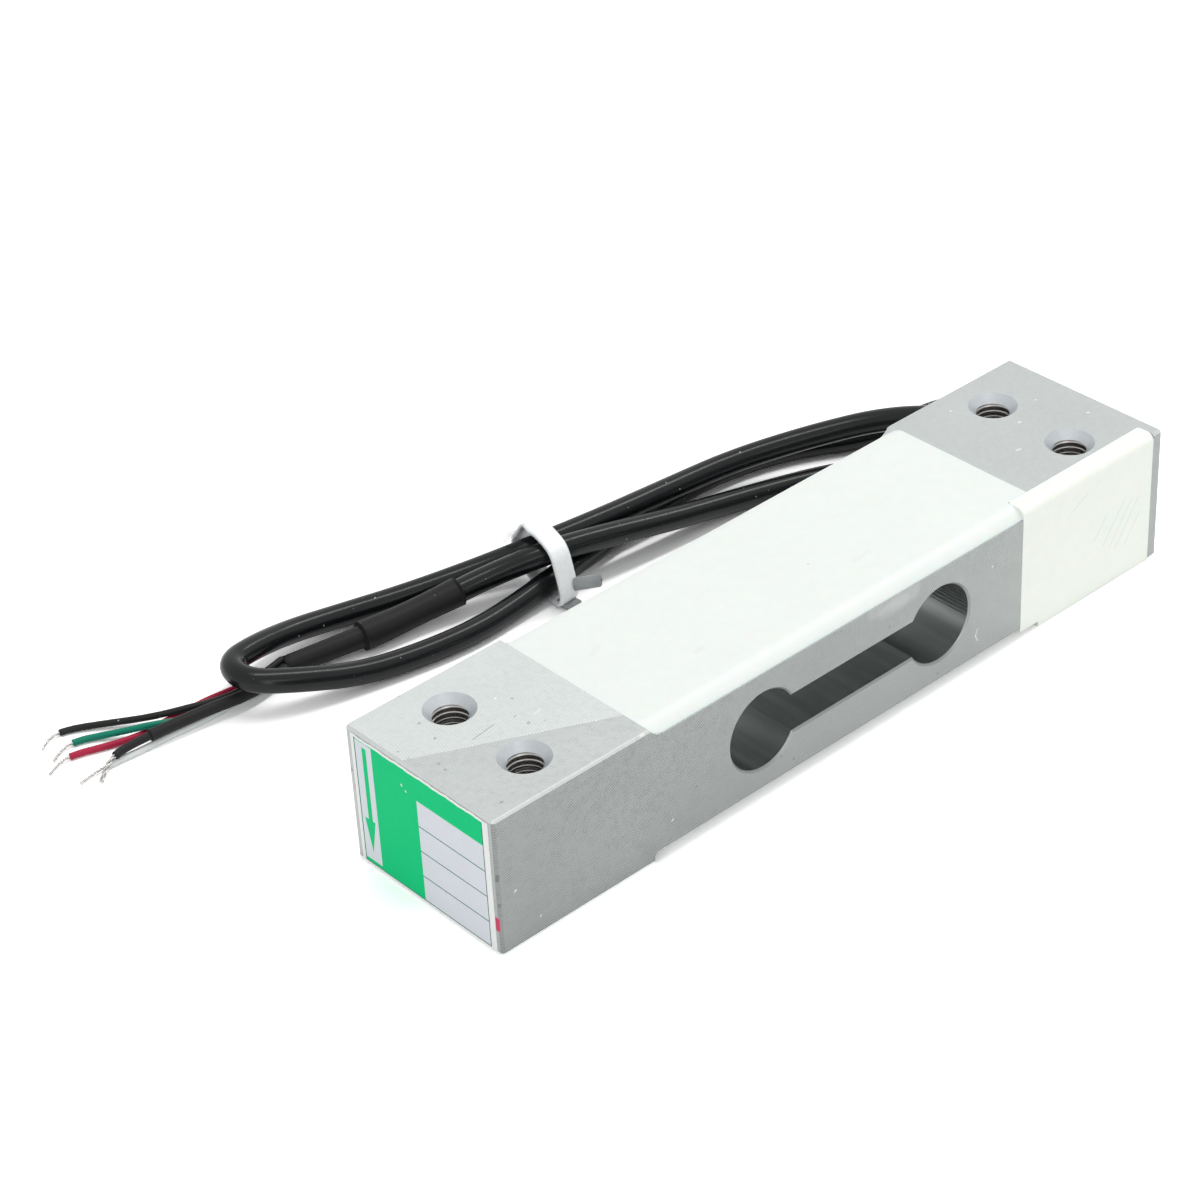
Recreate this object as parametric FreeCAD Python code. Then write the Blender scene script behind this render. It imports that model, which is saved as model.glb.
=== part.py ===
import FreeCAD, Part
import math
import os

# Single point load cell, millimetres.
# Frame: origin at the middle of the block's underside, +X along the block
# towards the cable end, +Y across it towards the cable side, +Z up.

Vec = FreeCAD.Vector

# ---------------------------------------------------------------- block
BLOCK_LENGTH = 130.0
BLOCK_WIDTH = 30.0
BLOCK_HEIGHT = 22.0
EDGE_CHAMFER = 0.4
BACK_CORNER_R = 0.9

# relief between the end pads, top and underside
RELIEF_NEAR_X = -38.0
RELIEF_FAR_X = 38.5
RELIEF_DEPTH = 1.65
RELIEF_FILLET = 0.8
RELIEF_TOP_FILLET = 3.0

# dog-bone window: two bores joined by a slot
WINDOW_BORE_R = 6.15
WINDOW_BORE_PITCH = 34.7
WINDOW_SLOT_HEIGHT = 6.0
WINDOW_EDGE_CHAMFER = 0.3

# four M6 tapped holes
TAP_MINOR_R = 2.5
TAP_END_DISTANCE = 12.0
TAP_PITCH_Y = 15.0
COUNTERSINK_R = 3.7

# wiring pocket in the front face at the cable end
POCKET_START_X = 34.6
POCKET_END_WALL = 2.0
POCKET_DEPTH = 3.0
POCKET_CORNER_R = 0.5

# cable bore from the back face into the pocket
CABLE_BORE_R = 2.35
CABLE_BORE_FROM_END = 4.8
CABLE_BORE_Z = 11.0

# ---------------------------------------------------------------- label
LABEL_THICKNESS = 0.12
LABEL_BACK_MARGIN = 1.5
LABEL_FRONT_MARGIN = 1.0
LABEL_TOP_MARGIN = 0.55
LABEL_BOTTOM_MARGIN = 0.4

# ---------------------------------------------------------------- sealant
SEAL_EDGE_R = 2.8
BOTTOM_COAT = 0.7
BOTTOM_COAT_INSET = 1.0
POCKET_SEAL_EDGE_R = 1.1
POCKET_SEAL_LIP_X = 3.0

# ---------------------------------------------------------------- strain gauges and wiring
GAUGE_LENGTH = 8.0
GAUGE_WIDTH = 5.0
FOIL_THICKNESS = 0.15
TAB_LENGTH = 1.4
TERMINAL_LENGTH = 5.0
TERMINAL_WIDTH = 7.0
TERMINAL_THICKNESS = 0.25
TERMINAL_TO_POCKET = 6.0
PAD_COUNT = 4
PAD_PITCH = 1.6
PAD_R = 0.5
PAD_HEIGHT = 0.3
ENAMEL_WIRE = 0.25
GAUGE_WIRE_Y = 0.9

BOARD_THICKNESS = 0.6
BOARD_LENGTH = 14.0
BOARD_HEIGHT = 12.0
BOARD_FROM_BORE = 4.2
RESISTOR_LENGTH = 2.0
RESISTOR_WIDTH = 1.25
RESISTOR_HEIGHT = 0.5
RESISTOR_PITCH = 3.2
RESISTOR_COUNT = 3
POST_SIZE = 0.9
POST_MARGIN = 0.4
CORE_LAYER_GAP = 1.1

# ---------------------------------------------------------------- cable
CABLE_R = 1.85
EXIT_SEAL_DEPTH = 4.0
EXIT_SEAL_BEAD = 0.8
EXIT_SEAL_BEAD_R = 3.3
EXIT_SEAL_CLEARANCE = 0.05
CORE_R = 0.45
CORE_OFFSET = 0.65

OUTER_SLEEVE_R = 2.3
OUTER_SLEEVE_BORE_R = 2.0
INNER_SLEEVE_R = 1.7

LEAD_R = 0.5
CONDUCTOR_R = 0.28
DRAIN_R = 0.35
SHIELD_SLEEVE_R = 0.9
SHIELD_STEP_R = 0.62

# ---------------------------------------------------------------- cable tie
TIE_WIDTH = 3.5
TIE_THICKNESS = 0.7
TIE_CLEARANCE = 0.25
TIE_CENTRE = (-5.4, 44.0)
TIE_YAW = -2.0
# centres of the rounds that the strip wraps: across the bundle, height
TIE_WRAP = [(5.9, 4.5), (3.6, 6.7), (0.8, 7.6), (-2.1, 7.2), (-3.9, 2.85), (0.3, 2.8)]
TIE_TAIL = 2.4
# the cut ends that show round the tie: spans across the bundle and up
TIE_BACK_TAIL = (3.6, 8.0, 6.4, 12.0)
TIE_LOW_TAIL = (0.2, 2.4, -1.0, 2.0)
TIE_STUB_LENGTH = 4.2
TIE_STUB_LAP = 1.6
TIE_STUB_Z = (1.2, 4.1)
TIE_STUB_TURN = -32
TIE_FOOT_X = (0.3, 0.8)
TIE_FOOT_Z = (0.3, 1.1)
TIE_FOOT_OUT = 0.3

# ---------------------------------------------------------------- routes
# Cable, from inside the bore, round the hank and into the shrink sleeves.
CABLE_EXIT_X = BLOCK_LENGTH / 2 - CABLE_BORE_FROM_END
CABLE_START_Y = BLOCK_WIDTH / 2 - EXIT_SEAL_DEPTH - 0.5
CABLE_ROUTE = [
    (CABLE_EXIT_X, CABLE_START_Y, CABLE_BORE_Z),
    (CABLE_EXIT_X, 21.5, CABLE_BORE_Z),
    (55.0, 31.0, 9.2),
    (45.5, 38.0, 7.2),
    (33.5, 43.6, 5.6),
    (20.5, 44.9, 5.6),
    (7.8, 45.2, 6.3),
    (-2.5, 47.0, 6.0),
    (-11.2, 52.0, 3.2),
    (-22.5, 56.0, 2.0),
    (-32.5, 58.9, 2.0),
    (-41.0, 59.6, 3.2),
    (-48.5, 58.3, 4.9),
    (-55.0, 56.6, 5.8),
    (-55.6, 51.0, 5.8),
    (-49.3, 47.5, 4.6),
    (-40.5, 44.8, 2.4),
    (-31.5, 42.8, 1.9),
    (-21.5, 41.4, 1.9),
    (-12.3, 42.1, 2.0),
    (-3.6, 42.4, 3.2),
    (5.5, 44.5, 2.2),
    (14.5, 46.3, 1.9),
    (25.0, 47.4, 1.9),
    (36.5, 46.8, 1.9),
    (47.0, 43.6, 1.9),
    (55.5, 38.4, 1.9),
    (62.5, 35.6, 1.9),
    (70.5, 35.3, 1.9),
    (77.0, 31.5, 1.9),
    (77.5, 24.0, 1.9),
    (72.0, 19.0, 1.9),
    (64.5, 19.2, 1.9),
    (58.5, 23.4, 1.9),
    (53.0, 28.6, 1.9),
    (45.5, 33.6, 1.9),
    (36.0, 37.2, 1.9),
    (26.0, 39.4, 2.6),
    (16.0, 40.0, 4.4),
    (5.8, 41.0, 6.4),
    (-4.2, 43.2, 7.2),
    (-12.4, 47.7, 4.7),
    (-21.2, 49.9, 3.2),
    (-29.8, 51.1, 2.6),
    (-38.2, 52.8, 2.2),
    (-46.4, 54.9, 1.75),
]
# corners of the route between which each piece on it begins and ends
OUTER_SLEEVE_START = 41
JACKET_END = 42
OUTER_SLEEVE_END = 43

# Leads, from the end of the inner sleeve to their bare tips.
BLACK_ROUTE = [
    (-46.3, 55.3, 2.9),
    (-51.3, 54.6, 2.6),
    (-54.7, 54.6, 1.7),
    (-58.8, 55.6, 1.65),
    (-62.3, 56.8, 1.8),
    (-67.1, 59.6, 1.2),
    (-72.4, 63.8, 0.7),
    (-76.2, 66.4, 0.5),
    (-79.6, 67.1, 0.5),
    (-81.8, 65.3, 0.4),
]
RED_ROUTE = [
    (-46.2, 55.8, 1.95),
    (-50.6, 56.2, 1.5),
    (-53.4, 56.6, 1.0),
    (-55.9, 57.4, 0.6),
    (-59.0, 57.9, 0.55),
    (-62.4, 57.8, 0.55),
    (-66.1, 58.0, 0.55),
    (-70.1, 57.7, 0.55),
    (-75.3, 59.3, 0.55),
    (-78.8, 60.7, 0.55),
    (-81.8, 61.1, 0.55),
    (-84.5, 59.6, 0.4),
]
GREEN_ROUTE = [
    (-46.2, 55.6, 0.9),
    (-51.0, 55.2, 0.6),
    (-54.0, 55.6, 0.55),
    (-58.7, 55.6, 0.55),
    (-63.1, 55.5, 0.9),
    (-66.9, 56.6, 1.65),
    (-69.0, 57.6, 1.75),
    (-71.3, 59.4, 1.2),
    (-74.3, 61.8, 0.6),
    (-76.7, 63.1, 0.55),
    (-79.6, 63.5, 0.55),
    (-82.2, 61.9, 0.4),
]
WHITE_ROUTE = [
    (-46.5, 54.6, 0.6),
    (-51.3, 53.6, 0.55),
    (-54.9, 54.3, 0.55),
    (-59.5, 54.1, 0.55),
    (-63.5, 54.3, 0.55),
    (-67.9, 54.7, 0.55),
    (-72.0, 54.8, 0.55),
    (-75.8, 55.2, 0.55),
    (-79.4, 55.4, 0.55),
    (-82.6, 54.8, 0.4),
]
DRAIN_ROUTE = [
    (-46.6, 54.1, 2.0),
    (-51.5, 53.0, 2.0),
    (-55.7, 53.0, 2.1),
    (-59.7, 53.7, 2.2),
    (-63.6, 54.2, 2.2),
    (-67.9, 54.7, 2.15),
    (-71.5, 55.2, 1.95),
    (-75.3, 55.4, 1.8),
    (-78.1, 54.6, 1.4),
    (-80.3, 53.0, 0.4),
]
SHIELD_SLEEVE_END = 5
SHIELD_STEP_END = 7

# ---------------------------------------------------------------- derived values
HALF_LENGTH = BLOCK_LENGTH / 2
HALF_WIDTH = BLOCK_WIDTH / 2
RELIEF_TOP_Z = BLOCK_HEIGHT - RELIEF_DEPTH
POCKET_END_X = HALF_LENGTH - POCKET_END_WALL
POCKET_FLOOR_Y = -HALF_WIDTH + POCKET_DEPTH
MID_HEIGHT = BLOCK_HEIGHT / 2
GAUGE_XS = (-WINDOW_BORE_PITCH / 2, WINDOW_BORE_PITCH / 2)
TAP_XS = (-HALF_LENGTH + TAP_END_DISTANCE, HALF_LENGTH - TAP_END_DISTANCE)
TAP_YS = (-TAP_PITCH_Y / 2, TAP_PITCH_Y / 2)
TERMINAL_X = POCKET_START_X - TERMINAL_TO_POCKET
BOARD_END_X = CABLE_EXIT_X - BOARD_FROM_BORE
BOARD_START_X = BOARD_END_X - BOARD_LENGTH
BOARD_FACE_Y = POCKET_FLOOR_Y - BOARD_THICKNESS


# ---------------------------------------------------------------- helpers
def box(x0, x1, y0, y1, z0, z1):
    return Part.makeBox(x1 - x0, y1 - y0, z1 - z0, Vec(x0, y0, z0))


def edges_where(shape, test):
    return [edge for edge in shape.Edges if test(edge)]


def along(edge, axis):
    """True for a straight edge that runs along one axis."""
    if edge.Curve.TypeId != "Part::GeomLine":
        return False
    run = edge.Vertexes[-1].Point - edge.Vertexes[0].Point
    return abs(abs(run.dot(axis)) - run.Length) < 1e-6


def route_edges(points):
    """Straight runs joined by tangent arcs; returns edges and arc radii."""
    corners = [Vec(*point) for point in points]
    edges = []
    radii = []
    start = corners[0]
    for before, corner, after in zip(corners, corners[1:], corners[2:]):
        back = before - corner
        ahead = after - corner
        trim = 0.45 * min(back.Length, ahead.Length)
        back.normalize()
        ahead.normalize()
        half_turn = (math.pi - back.getAngle(ahead)) / 2
        radius = trim / math.tan(half_turn)
        arc_start = corner + back * trim
        arc_end = corner + ahead * trim
        inward = (back + ahead).normalize()
        reach = math.hypot(radius, trim) - radius
        edges.append(Part.LineSegment(start, arc_start).toShape())
        edges.append(Part.Arc(arc_start, corner + inward * reach, arc_end).toShape())
        radii.append(radius)
        start = arc_end
    edges.append(Part.LineSegment(start, corners[-1]).toShape())
    return edges, radii


def tube(edges, radius):
    """Round bar swept along a chain of runs and arcs."""
    start = edges[0].Vertexes[0].Point
    direction = edges[0].tangentAt(edges[0].FirstParameter)
    section = Part.Wire([Part.makeCircle(radius, start, direction)])
    return Part.Wire(edges).makePipeShell([section], True, False)


def report_tube(name, edges, radii, radius):
    """Prints bend radii, and the swept volume against section times length."""
    length = sum(edge.Length for edge in edges)
    share = tube(edges, radius).Volume / (math.pi * radius ** 2 * length)
    listed = " ".join("%.1f" % value for value in radii)
    print("%s: length %.1f mm, volume ratio %.4f, radii %s" % (name, length, share, listed))


def run_start(corner):
    """Index of the straight run that follows a corner of a route."""
    return 2 * corner


def save(name, shape):
    if not shape.isValid():
        raise ValueError("invalid solid in " + name)
    shape.exportStep(os.path.join("parts", name + ".step"))
    print("%-22s solids %d  volume %.2f" % (name, len(shape.Solids), shape.Volume))


# ---------------------------------------------------------------- spring element
def side_outline():
    """Block seen from the side, with the relief above and below."""
    low = RELIEF_DEPTH
    high = RELIEF_TOP_Z
    fillet = RELIEF_FILLET
    turn = fillet * math.sqrt(0.5)
    near = RELIEF_NEAR_X
    far = RELIEF_FAR_X
    top_r = RELIEF_TOP_FILLET
    top_run = math.sqrt(top_r ** 2 - (top_r - RELIEF_DEPTH) ** 2)

    def at(x, z):
        return Vec(x, -HALF_WIDTH, z)

    def line(a, b):
        return Part.LineSegment(a, b).toShape()

    def corner(x, z, dx, dz):
        """Inside fillet: starts on the wall at x, ends on the floor at z."""
        centre = at(x + dx * fillet, z + dz * fillet)
        middle = centre + Vec(-dx * turn, 0, -dz * turn)
        return Part.Arc(at(x, z + dz * fillet), middle, at(x + dx * fillet, z)).toShape()

    def sweep(x, dx):
        """Hollow run-out of the top relief: from the pad's edge down to the floor."""
        end = at(x + dx * top_run, high)
        centre = end + Vec(0, 0, top_r)
        edge = at(x, BLOCK_HEIGHT)
        middle = centre + ((edge - centre) + (end - centre)).normalize() * top_r
        return Part.Arc(edge, middle, end).toShape()

    edges = [
        line(at(-HALF_LENGTH, 0), at(near, 0)),
        line(at(near, 0), at(near, low - fillet)),
        corner(near, low, 1, -1),
        line(at(near + fillet, low), at(far - fillet, low)),
        corner(far, low, -1, -1),
        line(at(far, low - fillet), at(far, 0)),
        line(at(far, 0), at(HALF_LENGTH, 0)),
        line(at(HALF_LENGTH, 0), at(HALF_LENGTH, BLOCK_HEIGHT)),
        line(at(HALF_LENGTH, BLOCK_HEIGHT), at(far, BLOCK_HEIGHT)),
        sweep(far, -1),
        line(at(far - top_run, high), at(near + top_run, high)),
        sweep(near, 1),
        line(at(near, BLOCK_HEIGHT), at(-HALF_LENGTH, BLOCK_HEIGHT)),
        line(at(-HALF_LENGTH, BLOCK_HEIGHT), at(-HALF_LENGTH, 0)),
    ]
    return Part.Wire(Part.sortEdges(edges)[0])


def window_outline():
    """Dog-bone: two bores joined by a slot, drawn on the front face."""
    half_slot = WINDOW_SLOT_HEIGHT / 2
    reach = math.sqrt(WINDOW_BORE_R ** 2 - half_slot ** 2)
    near_x, far_x = GAUGE_XS

    def at(x, z):
        return Vec(x, -HALF_WIDTH, MID_HEIGHT + z)

    near_low = at(near_x + reach, -half_slot)
    near_high = at(near_x + reach, half_slot)
    far_low = at(far_x - reach, -half_slot)
    far_high = at(far_x - reach, half_slot)
    return Part.Wire([
        Part.LineSegment(near_low, far_low).toShape(),
        Part.Arc(far_low, at(far_x + WINDOW_BORE_R, 0), far_high).toShape(),
        Part.LineSegment(far_high, near_high).toShape(),
        Part.Arc(near_high, at(near_x - WINDOW_BORE_R, 0), near_low).toShape(),
    ])


def prism_across(outline, extra=0.0):
    """Closed outline on the front face, extruded through the width."""
    face = Part.Face(outline)
    face.translate(Vec(0, -extra, 0))
    return face.extrude(Vec(0, BLOCK_WIDTH + 2 * extra, 0))


def tapped_hole(x, y):
    """Through hole with a 90 degree countersink at both faces."""
    depth = COUNTERSINK_R - TAP_MINOR_R
    hole = Part.makeCylinder(TAP_MINOR_R, BLOCK_HEIGHT, Vec(x, y, 0))
    low = Part.makeCone(COUNTERSINK_R, TAP_MINOR_R, depth, Vec(x, y, 0))
    high = Part.makeCone(TAP_MINOR_R, COUNTERSINK_R, depth, Vec(x, y, BLOCK_HEIGHT - depth))
    return hole.fuse([low, high])


def wiring_pocket():
    """Milled step in the front face, with cutter radii at its two ends."""
    cut = box(POCKET_START_X, POCKET_END_X, -HALF_WIDTH - POCKET_CORNER_R,
              POCKET_FLOOR_Y, 0, BLOCK_HEIGHT)
    inner = edges_where(cut, lambda e: along(e, Vec(0, 0, 1))
                        and abs(e.Vertexes[0].Point.y - POCKET_FLOOR_Y) < 1e-6)
    return cut.makeFillet(POCKET_CORNER_R, inner)


def cable_bore():
    depth = BLOCK_WIDTH - POCKET_DEPTH
    return Part.makeCylinder(CABLE_BORE_R, depth,
                             Vec(CABLE_EXIT_X, POCKET_FLOOR_Y, CABLE_BORE_Z), Vec(0, 1, 0))


def outer_block_edge(edge):
    """Edges of the pads, feet and end faces that are broken by hand."""
    middle = edge.BoundBox.Center
    at_end = abs(abs(middle.x) - HALF_LENGTH) < 1e-6
    at_side = abs(abs(middle.y) - HALF_WIDTH) < 1e-6
    at_face = min(abs(middle.z), abs(middle.z - BLOCK_HEIGHT)) < 1e-6
    long_side = at_side and at_face and along(edge, Vec(1, 0, 0))
    end_line = at_end and (at_face or at_side)
    return long_side or end_line


def make_spring_element():
    block = prism_across(side_outline())
    corner = edges_where(block, lambda e: along(e, Vec(0, 0, 1))
                         and e.BoundBox.Center.x < EDGE_CHAMFER - HALF_LENGTH
                         and e.BoundBox.Center.y > 0)
    block = block.makeFillet(BACK_CORNER_R, corner)
    block = block.makeChamfer(EDGE_CHAMFER, edges_where(block, outer_block_edge))
    block = block.cut(wiring_pocket())
    window = prism_across(window_outline(), 1.0)
    block = block.cut(window)
    rim = edges_where(block, lambda e: abs(abs(e.BoundBox.Center.y) - HALF_WIDTH) < 1e-6
                      and e.BoundBox.YLength < 1e-6
                      and abs(e.BoundBox.Center.x) < WINDOW_BORE_PITCH
                      and abs(e.BoundBox.Center.z - MID_HEIGHT) < WINDOW_BORE_R
                      and e.BoundBox.ZLength < BLOCK_HEIGHT - WINDOW_BORE_R)
    block = block.makeChamfer(WINDOW_EDGE_CHAMFER, rim)
    for x in TAP_XS:
        for y in TAP_YS:
            block = block.cut(tapped_hole(x, y))
    return block.cut(cable_bore())


# ---------------------------------------------------------------- label
def make_label():
    return box(-HALF_LENGTH - LABEL_THICKNESS, -HALF_LENGTH,
               -HALF_WIDTH + LABEL_FRONT_MARGIN, HALF_WIDTH - LABEL_BACK_MARGIN,
               LABEL_BOTTOM_MARGIN, BLOCK_HEIGHT - LABEL_TOP_MARGIN)


# ---------------------------------------------------------------- gauges and wiring
def on_face(shape, top):
    """Gauge work is laid out above the top relief and mirrored for the underside."""
    if top:
        return shape
    return shape.mirror(Vec(0, 0, MID_HEIGHT), Vec(0, 0, 1))


def make_gauge(x, top):
    """Foil gauge with two solder tabs."""
    z = RELIEF_TOP_Z
    foil = box(x - GAUGE_LENGTH / 2, x + GAUGE_LENGTH / 2,
               -GAUGE_WIDTH / 2, GAUGE_WIDTH / 2, z, z + FOIL_THICKNESS)
    for side in (-1, 1):
        y = side * GAUGE_WIRE_Y
        tab = box(x + GAUGE_LENGTH / 2 - TAB_LENGTH, x + GAUGE_LENGTH / 2,
                  y - PAD_R, y + PAD_R, z + FOIL_THICKNESS, z + 2 * FOIL_THICKNESS)
        foil = foil.fuse(tab)
    return on_face(foil.removeSplitter(), top)


def pad_ys():
    return [(i - (PAD_COUNT - 1) / 2) * PAD_PITCH for i in range(PAD_COUNT)]


def make_terminals(top):
    """Solder terminal strip, one pad for each jumper wire."""
    z = RELIEF_TOP_Z
    strip = box(TERMINAL_X - TERMINAL_LENGTH / 2, TERMINAL_X + TERMINAL_LENGTH / 2,
                -TERMINAL_WIDTH / 2, TERMINAL_WIDTH / 2, z, z + TERMINAL_THICKNESS)
    for y in pad_ys():
        pad = Part.makeCylinder(PAD_R, PAD_HEIGHT, Vec(TERMINAL_X, y, z + TERMINAL_THICKNESS))
        strip = strip.fuse(pad)
    return on_face(strip, top)


def square_wire(points):
    """Enamelled wire, drawn as a thin square bar through axis-aligned corners."""
    half = ENAMEL_WIRE / 2
    pieces = []
    for a, b in zip(points, points[1:]):
        pieces.append(box(min(a[0], b[0]) - half, max(a[0], b[0]) + half,
                          min(a[1], b[1]) - half, max(a[1], b[1]) + half,
                          min(a[2], b[2]) - half, max(a[2], b[2]) + half))
    wire = pieces[0].fuse(pieces[1:]) if len(pieces) > 1 else pieces[0]
    return wire.removeSplitter()


def make_jumpers(top):
    """Wires from the gauges to the terminal strip, and on into the pocket."""
    half = ENAMEL_WIRE / 2
    tab_z = RELIEF_TOP_Z + 2 * FOIL_THICKNESS + half
    near_x, far_x = GAUGE_XS
    pads = pad_ys()
    pad_z = RELIEF_TOP_Z + TERMINAL_THICKNESS + PAD_HEIGHT + half
    strip_start = TERMINAL_X - PAD_R
    strip_end = TERMINAL_X + PAD_R
    wires = []
    for side, pad_y in ((-1, pads[1]), (1, pads[2])):
        y = side * GAUGE_WIRE_Y
        start = far_x + GAUGE_LENGTH / 2 - half
        wires.append(square_wire([(start, y, tab_z), (start, y, pad_z),
                                  (start, pad_y, pad_z), (strip_start + half, pad_y, pad_z)]))
    for side, pad_y in ((-1, pads[0]), (1, pads[3])):
        y = side * GAUGE_WIRE_Y
        start = near_x + GAUGE_LENGTH / 2 - half
        clear_y = side * (GAUGE_WIDTH / 2 + PAD_R)
        wires.append(square_wire([(start, y, tab_z), (start, clear_y, tab_z),
                                  (strip_start - TERMINAL_LENGTH / 2, clear_y, tab_z),
                                  (strip_start - TERMINAL_LENGTH / 2, clear_y, pad_z),
                                  (strip_start - TERMINAL_LENGTH / 2, pad_y, pad_z),
                                  (strip_start + half, pad_y, pad_z)]))
    board_y = BOARD_FACE_Y - half
    for index, pad_y in enumerate(pads):
        drop_x = POCKET_START_X + (PAD_COUNT - index) * 2 * ENAMEL_WIRE
        level = MID_HEIGHT + BOARD_HEIGHT / 2 - (index + 1) * 2 * ENAMEL_WIRE
        wires.append(square_wire([(strip_end - half, pad_y, pad_z), (drop_x, pad_y, pad_z),
                                  (drop_x, board_y, pad_z), (drop_x, board_y, level),
                                  (BOARD_START_X + (index + 1) * PAD_R, board_y, level)]))
    return on_face(Part.makeCompound(wires), top)


def make_board():
    """Compensation board bonded to the pocket floor."""
    return box(BOARD_START_X, BOARD_END_X, BOARD_FACE_Y, POCKET_FLOOR_Y,
               MID_HEIGHT - BOARD_HEIGHT / 2, MID_HEIGHT + BOARD_HEIGHT / 2)


def make_resistors():
    """Trim resistors on the board."""
    parts = []
    middle_x = (BOARD_START_X + BOARD_END_X) / 2
    for i in range(RESISTOR_COUNT):
        z = MID_HEIGHT + (i - (RESISTOR_COUNT - 1) / 2) * RESISTOR_PITCH
        parts.append(box(middle_x - RESISTOR_LENGTH / 2, middle_x + RESISTOR_LENGTH / 2,
                         BOARD_FACE_Y - RESISTOR_HEIGHT, BOARD_FACE_Y,
                         z - RESISTOR_WIDTH / 2, z + RESISTOR_WIDTH / 2))
    return Part.makeCompound(parts)


def core_layout():
    """The four cores in the bore: (x offset, z offset, layer in the pocket)."""
    return [(-CORE_OFFSET, -CORE_OFFSET, 0), (-CORE_OFFSET, CORE_OFFSET, 0),
            (CORE_OFFSET, -CORE_OFFSET, 1), (CORE_OFFSET, CORE_OFFSET, 1)]


def core_layer_y(layer):
    return BOARD_FACE_Y - CORE_R - PAD_HEIGHT - layer * CORE_LAYER_GAP


def post_face_x(layer):
    """Face of a solder post that the end of its core lies against."""
    return BOARD_END_X - POST_MARGIN - 2 * layer * POST_SIZE


def make_core_tails():
    """Stripped cores: through the bore, round an elbow and along to the board."""
    tails = []
    for dx, dz, layer in core_layout():
        y = core_layer_y(layer)
        elbow = Vec(CABLE_EXIT_X + dx, y, CABLE_BORE_Z + dz)
        through = Part.makeCylinder(CORE_R, CABLE_START_Y - y, elbow, Vec(0, 1, 0))
        across = Part.makeCylinder(CORE_R, elbow.x - post_face_x(layer), elbow, Vec(-1, 0, 0))
        tails.append(through.fuse([across, Part.makeSphere(CORE_R, elbow)]))
    return Part.makeCompound(tails)


def make_solder_posts():
    """Four posts on the board, one at the end of each core."""
    posts = []
    for _dx, dz, layer in core_layout():
        x = post_face_x(layer)
        z = CABLE_BORE_Z + dz
        posts.append(box(x - POST_SIZE, x, core_layer_y(layer) - CORE_R, BOARD_FACE_Y,
                         z - POST_SIZE / 2, z + POST_SIZE / 2))
    return Part.makeCompound(posts)


# ---------------------------------------------------------------- sealant
def make_top_seal(inside, block):
    """White sealant that fills the top relief and thins out towards its long edges."""
    centre_y = HALF_WIDTH - SEAL_EDGE_R
    centre_z = BLOCK_HEIGHT - SEAL_EDGE_R
    foot_y = centre_y + math.sqrt(SEAL_EDGE_R ** 2 - (RELIEF_TOP_Z - centre_z) ** 2)

    def at(y, z):
        return Vec(RELIEF_NEAR_X, y, z)

    def edge_round(side):
        centre = at(side * centre_y, centre_z)
        foot = at(side * foot_y, RELIEF_TOP_Z)
        crown = at(side * centre_y, BLOCK_HEIGHT)
        middle = centre + ((foot - centre) + (crown - centre)).normalize() * SEAL_EDGE_R
        return Part.Arc(foot, middle, crown).toShape()

    outline = Part.Wire(Part.sortEdges([
        Part.LineSegment(at(-foot_y, RELIEF_TOP_Z), at(foot_y, RELIEF_TOP_Z)).toShape(),
        edge_round(1),
        Part.LineSegment(at(centre_y, BLOCK_HEIGHT), at(-centre_y, BLOCK_HEIGHT)).toShape(),
        edge_round(-1),
    ])[0])
    seal = Part.Face(outline).extrude(Vec(RELIEF_FAR_X - RELIEF_NEAR_X, 0, 0))
    pocket = box(POCKET_START_X, POCKET_END_X, -HALF_WIDTH - 1, POCKET_FLOOR_Y,
                 0, BLOCK_HEIGHT + 1)
    return seal.cut(pocket).cut([block] + inside)


def make_bottom_seal(inside):
    """Thin sealant coat on the roof of the underside relief."""
    start = RELIEF_NEAR_X + RELIEF_FILLET + BOTTOM_COAT_INSET
    end = RELIEF_FAR_X - RELIEF_FILLET
    coat = box(start, end, -HALF_WIDTH + BOTTOM_COAT_INSET, HALF_WIDTH - BOTTOM_COAT_INSET,
               RELIEF_DEPTH - BOTTOM_COAT, RELIEF_DEPTH)
    rounds = edges_where(coat, lambda e: e.BoundBox.ZLength < 1e-6
                         and e.BoundBox.Center.z < RELIEF_DEPTH - BOTTOM_COAT + 1e-6)
    coat = coat.makeFillet(BOTTOM_COAT / 2, rounds)
    pocket = box(POCKET_START_X, POCKET_END_X, -HALF_WIDTH - 1, POCKET_FLOOR_Y,
                 0, BLOCK_HEIGHT)
    return coat.cut(pocket).cut(inside)


def make_pocket_seal(inside):
    """Sealant that fills the wiring pocket, rounded where it meets the top."""
    seal = box(POCKET_START_X, POCKET_END_X, -HALF_WIDTH, POCKET_FLOOR_Y, 0, BLOCK_HEIGHT)
    corner = edges_where(seal, lambda e: along(e, Vec(0, 0, 1))
                         and abs(e.BoundBox.Center.y - POCKET_FLOOR_Y) < 1e-6)
    seal = seal.makeFillet(POCKET_CORNER_R, corner)
    rounds = edges_where(seal, lambda e: along(e, Vec(1, 0, 0))
                         and e.BoundBox.Center.y < -HALF_WIDTH + 1e-6
                         and e.BoundBox.Center.z > BLOCK_HEIGHT - 1e-6)
    seal = seal.makeFillet(POCKET_SEAL_EDGE_R, rounds)
    relief = box(POCKET_START_X - 1, RELIEF_FAR_X, -HALF_WIDTH - 1, POCKET_FLOOR_Y + 1,
                 -1, RELIEF_DEPTH - BOTTOM_COAT)
    return seal.cut(relief).cut(inside)


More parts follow.
